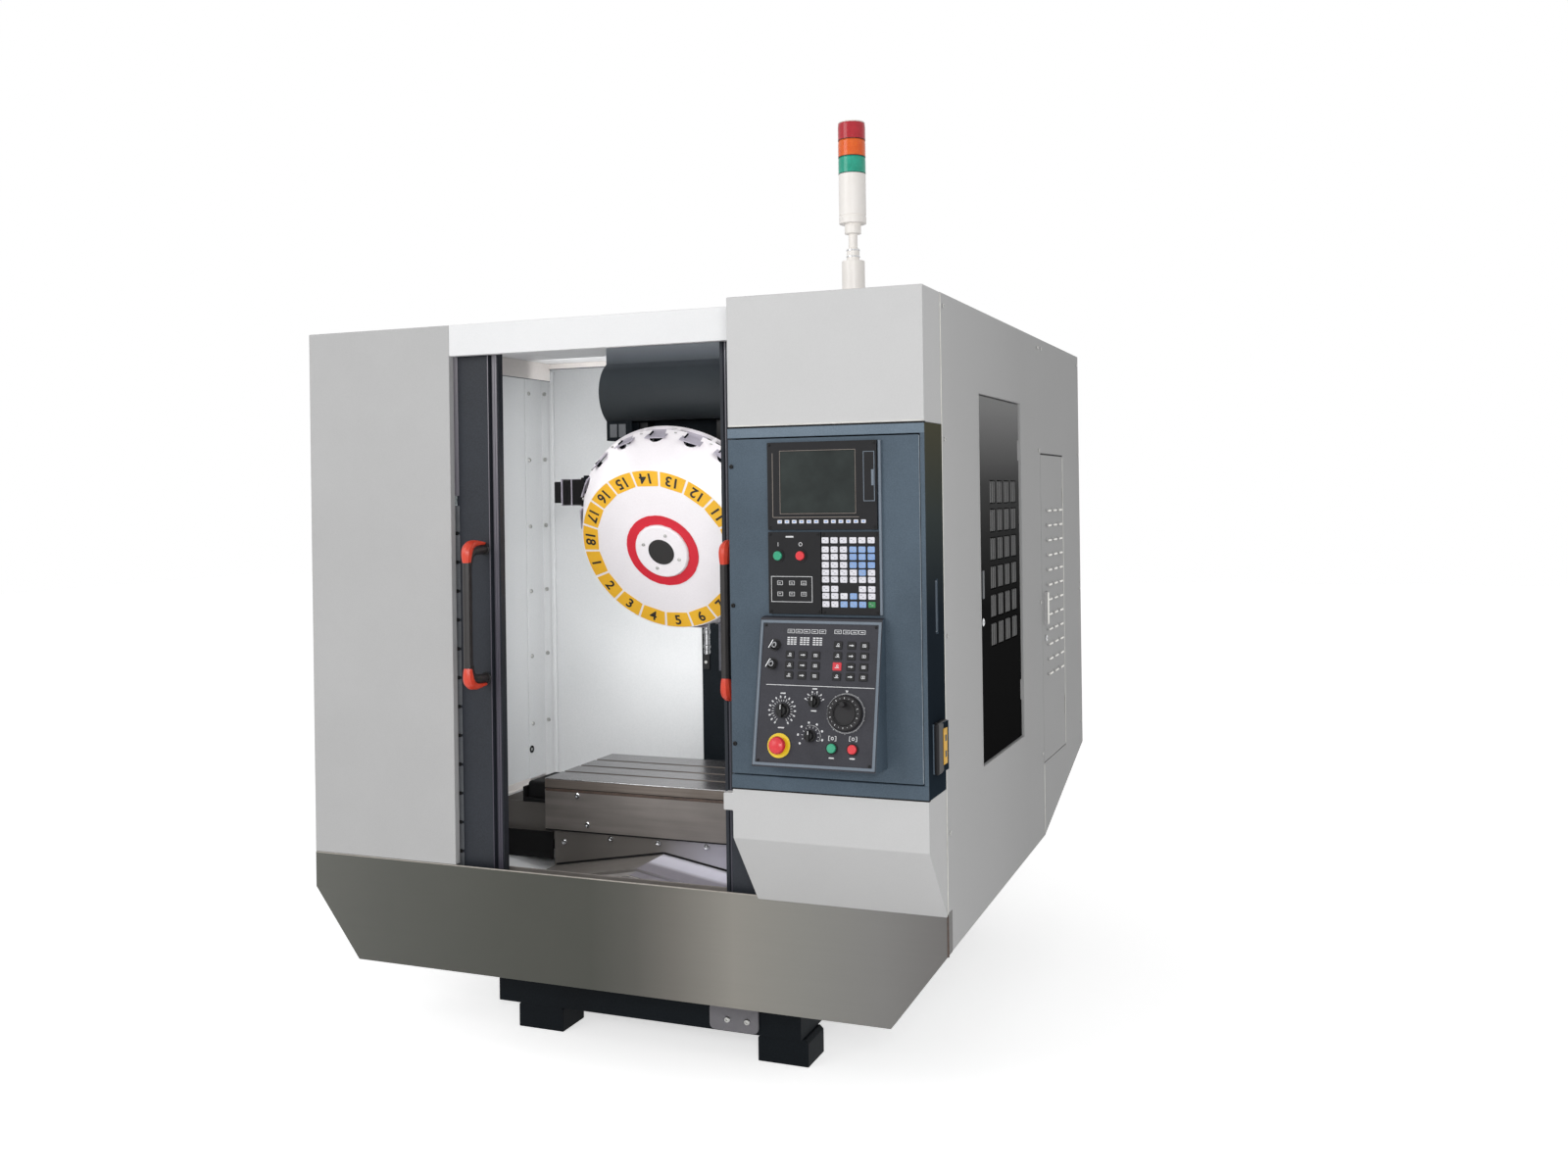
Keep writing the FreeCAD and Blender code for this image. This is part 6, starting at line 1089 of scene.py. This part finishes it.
# ---------------------------------------------------------------- roof
ROOF_TOP = facing("up", ROOF)
bars("roof_seam_strips", BOX_GREY, [(-905, y, ROOF, 905, y + 12, ROOF + 3.5) for y in (-100, 520)], 1, 1)
done(on(ROOF_TOP, plate(-320, 170, 316, 470, 0, 26, 14, 3)), "roof_hatch", BOX_GREY)
screws("roof_screws", 5.5, spots(ROOF_TOP, ((-300, -2, 296), (190, 450)), z=26)
       + spots(ROOF_TOP, (range(-860, 900, 215), (-60, 560, 1030)), (range(-430, 440, 215), (-740,))))
eye = joined([turned([(24, 0), (24, 8), (16, 14), (10, 22)], 24),
              settle(ring(13, 24, -7, 7, 32), at(0, 0, 40) @ Matrix.Rotation(math.pi / 2, 4, "X"))])
done(repeated(eye, spots(ROOF_TOP, ((-780, 780), (60, 900)))), "roof_lifting_eyes", CAST_PAINT)
fan_box = [plate(-780, 600, -420, 880, 0, 40, 10, 3)]
fan_box += [plate(x, 625, x + 18, 855, 38, 44, 6, 1) for x in range(-760, -453, 34)]
done(on(ROOF_TOP, joined(fan_box)), "roof_exhaust_box", SLAT_GREY)

# ---------------------------------------------------------------- signal tower
TOWER = FLAT @ at(751, -845)
LENS_FOOT, LENS_HEIGHT = 2306, 41
for index, (name, material) in enumerate((("green", LENS_GREEN), ("amber", LENS_AMBER), ("red", LENS_RED))):
    foot = LENS_FOOT + LENS_HEIGHT * index + 4
    ribs = [ring(32.2, 33.4, foot + 5.2 * k, foot + 2.2 + 5.2 * k) for k in range(6)]
    done(on(TOWER, joined(ribs)), "tower_%s_ribs" % name, material)
done(on(TOWER, joined([ring(32.5, 33.4, z, z + 1.6) for z in (2305.8, 2346.6, 2387.6)])), "tower_lens_joints",
     KNOB_BLACK)
done(on(TOWER, turned([(34, ROOF), (34, ROOF + 6), (30, ROOF + 10)], 40)), "tower_base_flange", TOWER_WHITE)
done(on(TOWER, joined([ring(15, 16.8, z, z + 3, 32) for z in (2104.5, 2120)])), "tower_pole_clamps", CHROME)

# ---------------------------------------------------------------- view, light and floor
YAW, ROLL = 0.381, -0.0138
EYE = (1.8732, -4.1210, 1.5265)
camera_data = bpy.data.cameras.new("view")
camera_data.lens = 32.63
camera_data.sensor_width = 36.0
camera_data.shift_y = -0.0586
camera = bpy.data.objects.new("view", camera_data)
bpy.context.collection.objects.link(camera)
ahead = Vector((-math.sin(YAW), math.cos(YAW), 0))
sideways = Vector((math.cos(YAW), math.sin(YAW), 0))
upward = sideways.cross(ahead)
right = math.cos(ROLL) * sideways + math.sin(ROLL) * upward
over = -math.sin(ROLL) * sideways + math.cos(ROLL) * upward
camera.matrix_world = Matrix.Translation(EYE) @ Matrix((right, over, -ahead)).transposed().to_4x4()
bpy.context.scene.camera = camera
bpy.context.scene.view_settings.view_transform = "Standard"


def looked_at(owner):
    """1 where the camera, a reflection or the glass looks at it, and 0 for the light it gives to other things."""
    ray = add(owner, "LightPath").outputs
    seen = add(owner, "Math", {0: ray["Is Camera Ray"], 1: ray["Is Glossy Ray"]}, operation="MAXIMUM")
    seen = add(owner, "Math", {0: seen.outputs[0], 1: ray["Is Transmission Ray"]}, operation="MAXIMUM")
    return seen.outputs[0]


# the room is dim for the object's own light, and white where it is looked at
world = bpy.data.worlds.new("studio")
bpy.context.scene.world = world
world.use_nodes = True
sky = world.node_tree.nodes["Background"]
sky.inputs["Color"].default_value = linear("#FFFFFF")
strength = add(world, "MapRange", {"Value": looked_at(world), "To Min": 0.42, "To Max": 1.0})
wire(world, strength.outputs["Result"], sky.inputs["Strength"])


def lamp(name, power, size, place, target, spread=180):
    """Soft square lamp that looks at a point, its light spread over some degrees."""
    data = bpy.data.lights.new(name, "AREA")
    data.energy = power
    data.size = size
    data.spread = math.radians(spread)
    light = bpy.data.objects.new(name, data)
    bpy.context.collection.objects.link(light)
    look = (Vector(target) - Vector(place)).to_track_quat("-Z", "Y").to_matrix().to_4x4()
    light.matrix_world = Matrix.Translation(place) @ look


lamp("key", 86, 3.0, (-2.6, -5.2, 3.6), (0, 0, 1.1))
lamp("front", 46, 0.7, (2.3, -4.6, 2.1), (0, 0, 1.2))
lamp("work_light", 1.9, 1.2, (0.0, -0.66, 1.34), (0.0, 0.36, 1.30))
lamp("wall_light", 6.7, 1.3, (0.0, -0.02, 1.40), (0.0, 0.36, 1.40))
for side in (-1, 1):
    lamp("strip_light", 1.45, 0.34, (side * 0.66, -0.46, 1.90), (side * 0.05, -0.16, 0.69), 110)
lamp("sill_light", 0.34, 0.22, (0.24, -0.70, 1.92), (0.17, -0.52, 0.47), 50)

bpy.ops.object.select_all(action="DESELECT")
bpy.ops.mesh.primitive_plane_add(size=40, location=(0, 0, 0))
floor = bpy.context.object
floor.name = "floor"
# pale floor: it takes the soft shadow, and glows to white where it is looked at
floor_material, _, floor_shader = start("pale_floor", Roughness=0.9)
floor_shader.inputs["Base Color"].default_value = linear("#F6F6F6")
floor.data.materials.append(floor_material)
glow = add(floor_material, "Emission", {"Color": linear("#FFFFFF"), "Strength": 0.62})
both = add(floor_material, "AddShader", {0: floor_shader.outputs[0], 1: glow.outputs[0]})
choose = add(floor_material, "MixShader", {"Fac": looked_at(floor_material), 1: floor_shader.outputs[0],
                                           2: both.outputs[0]})
wire(floor_material, choose.outputs[0], floor_material.node_tree.nodes["Material Output"].inputs["Surface"])
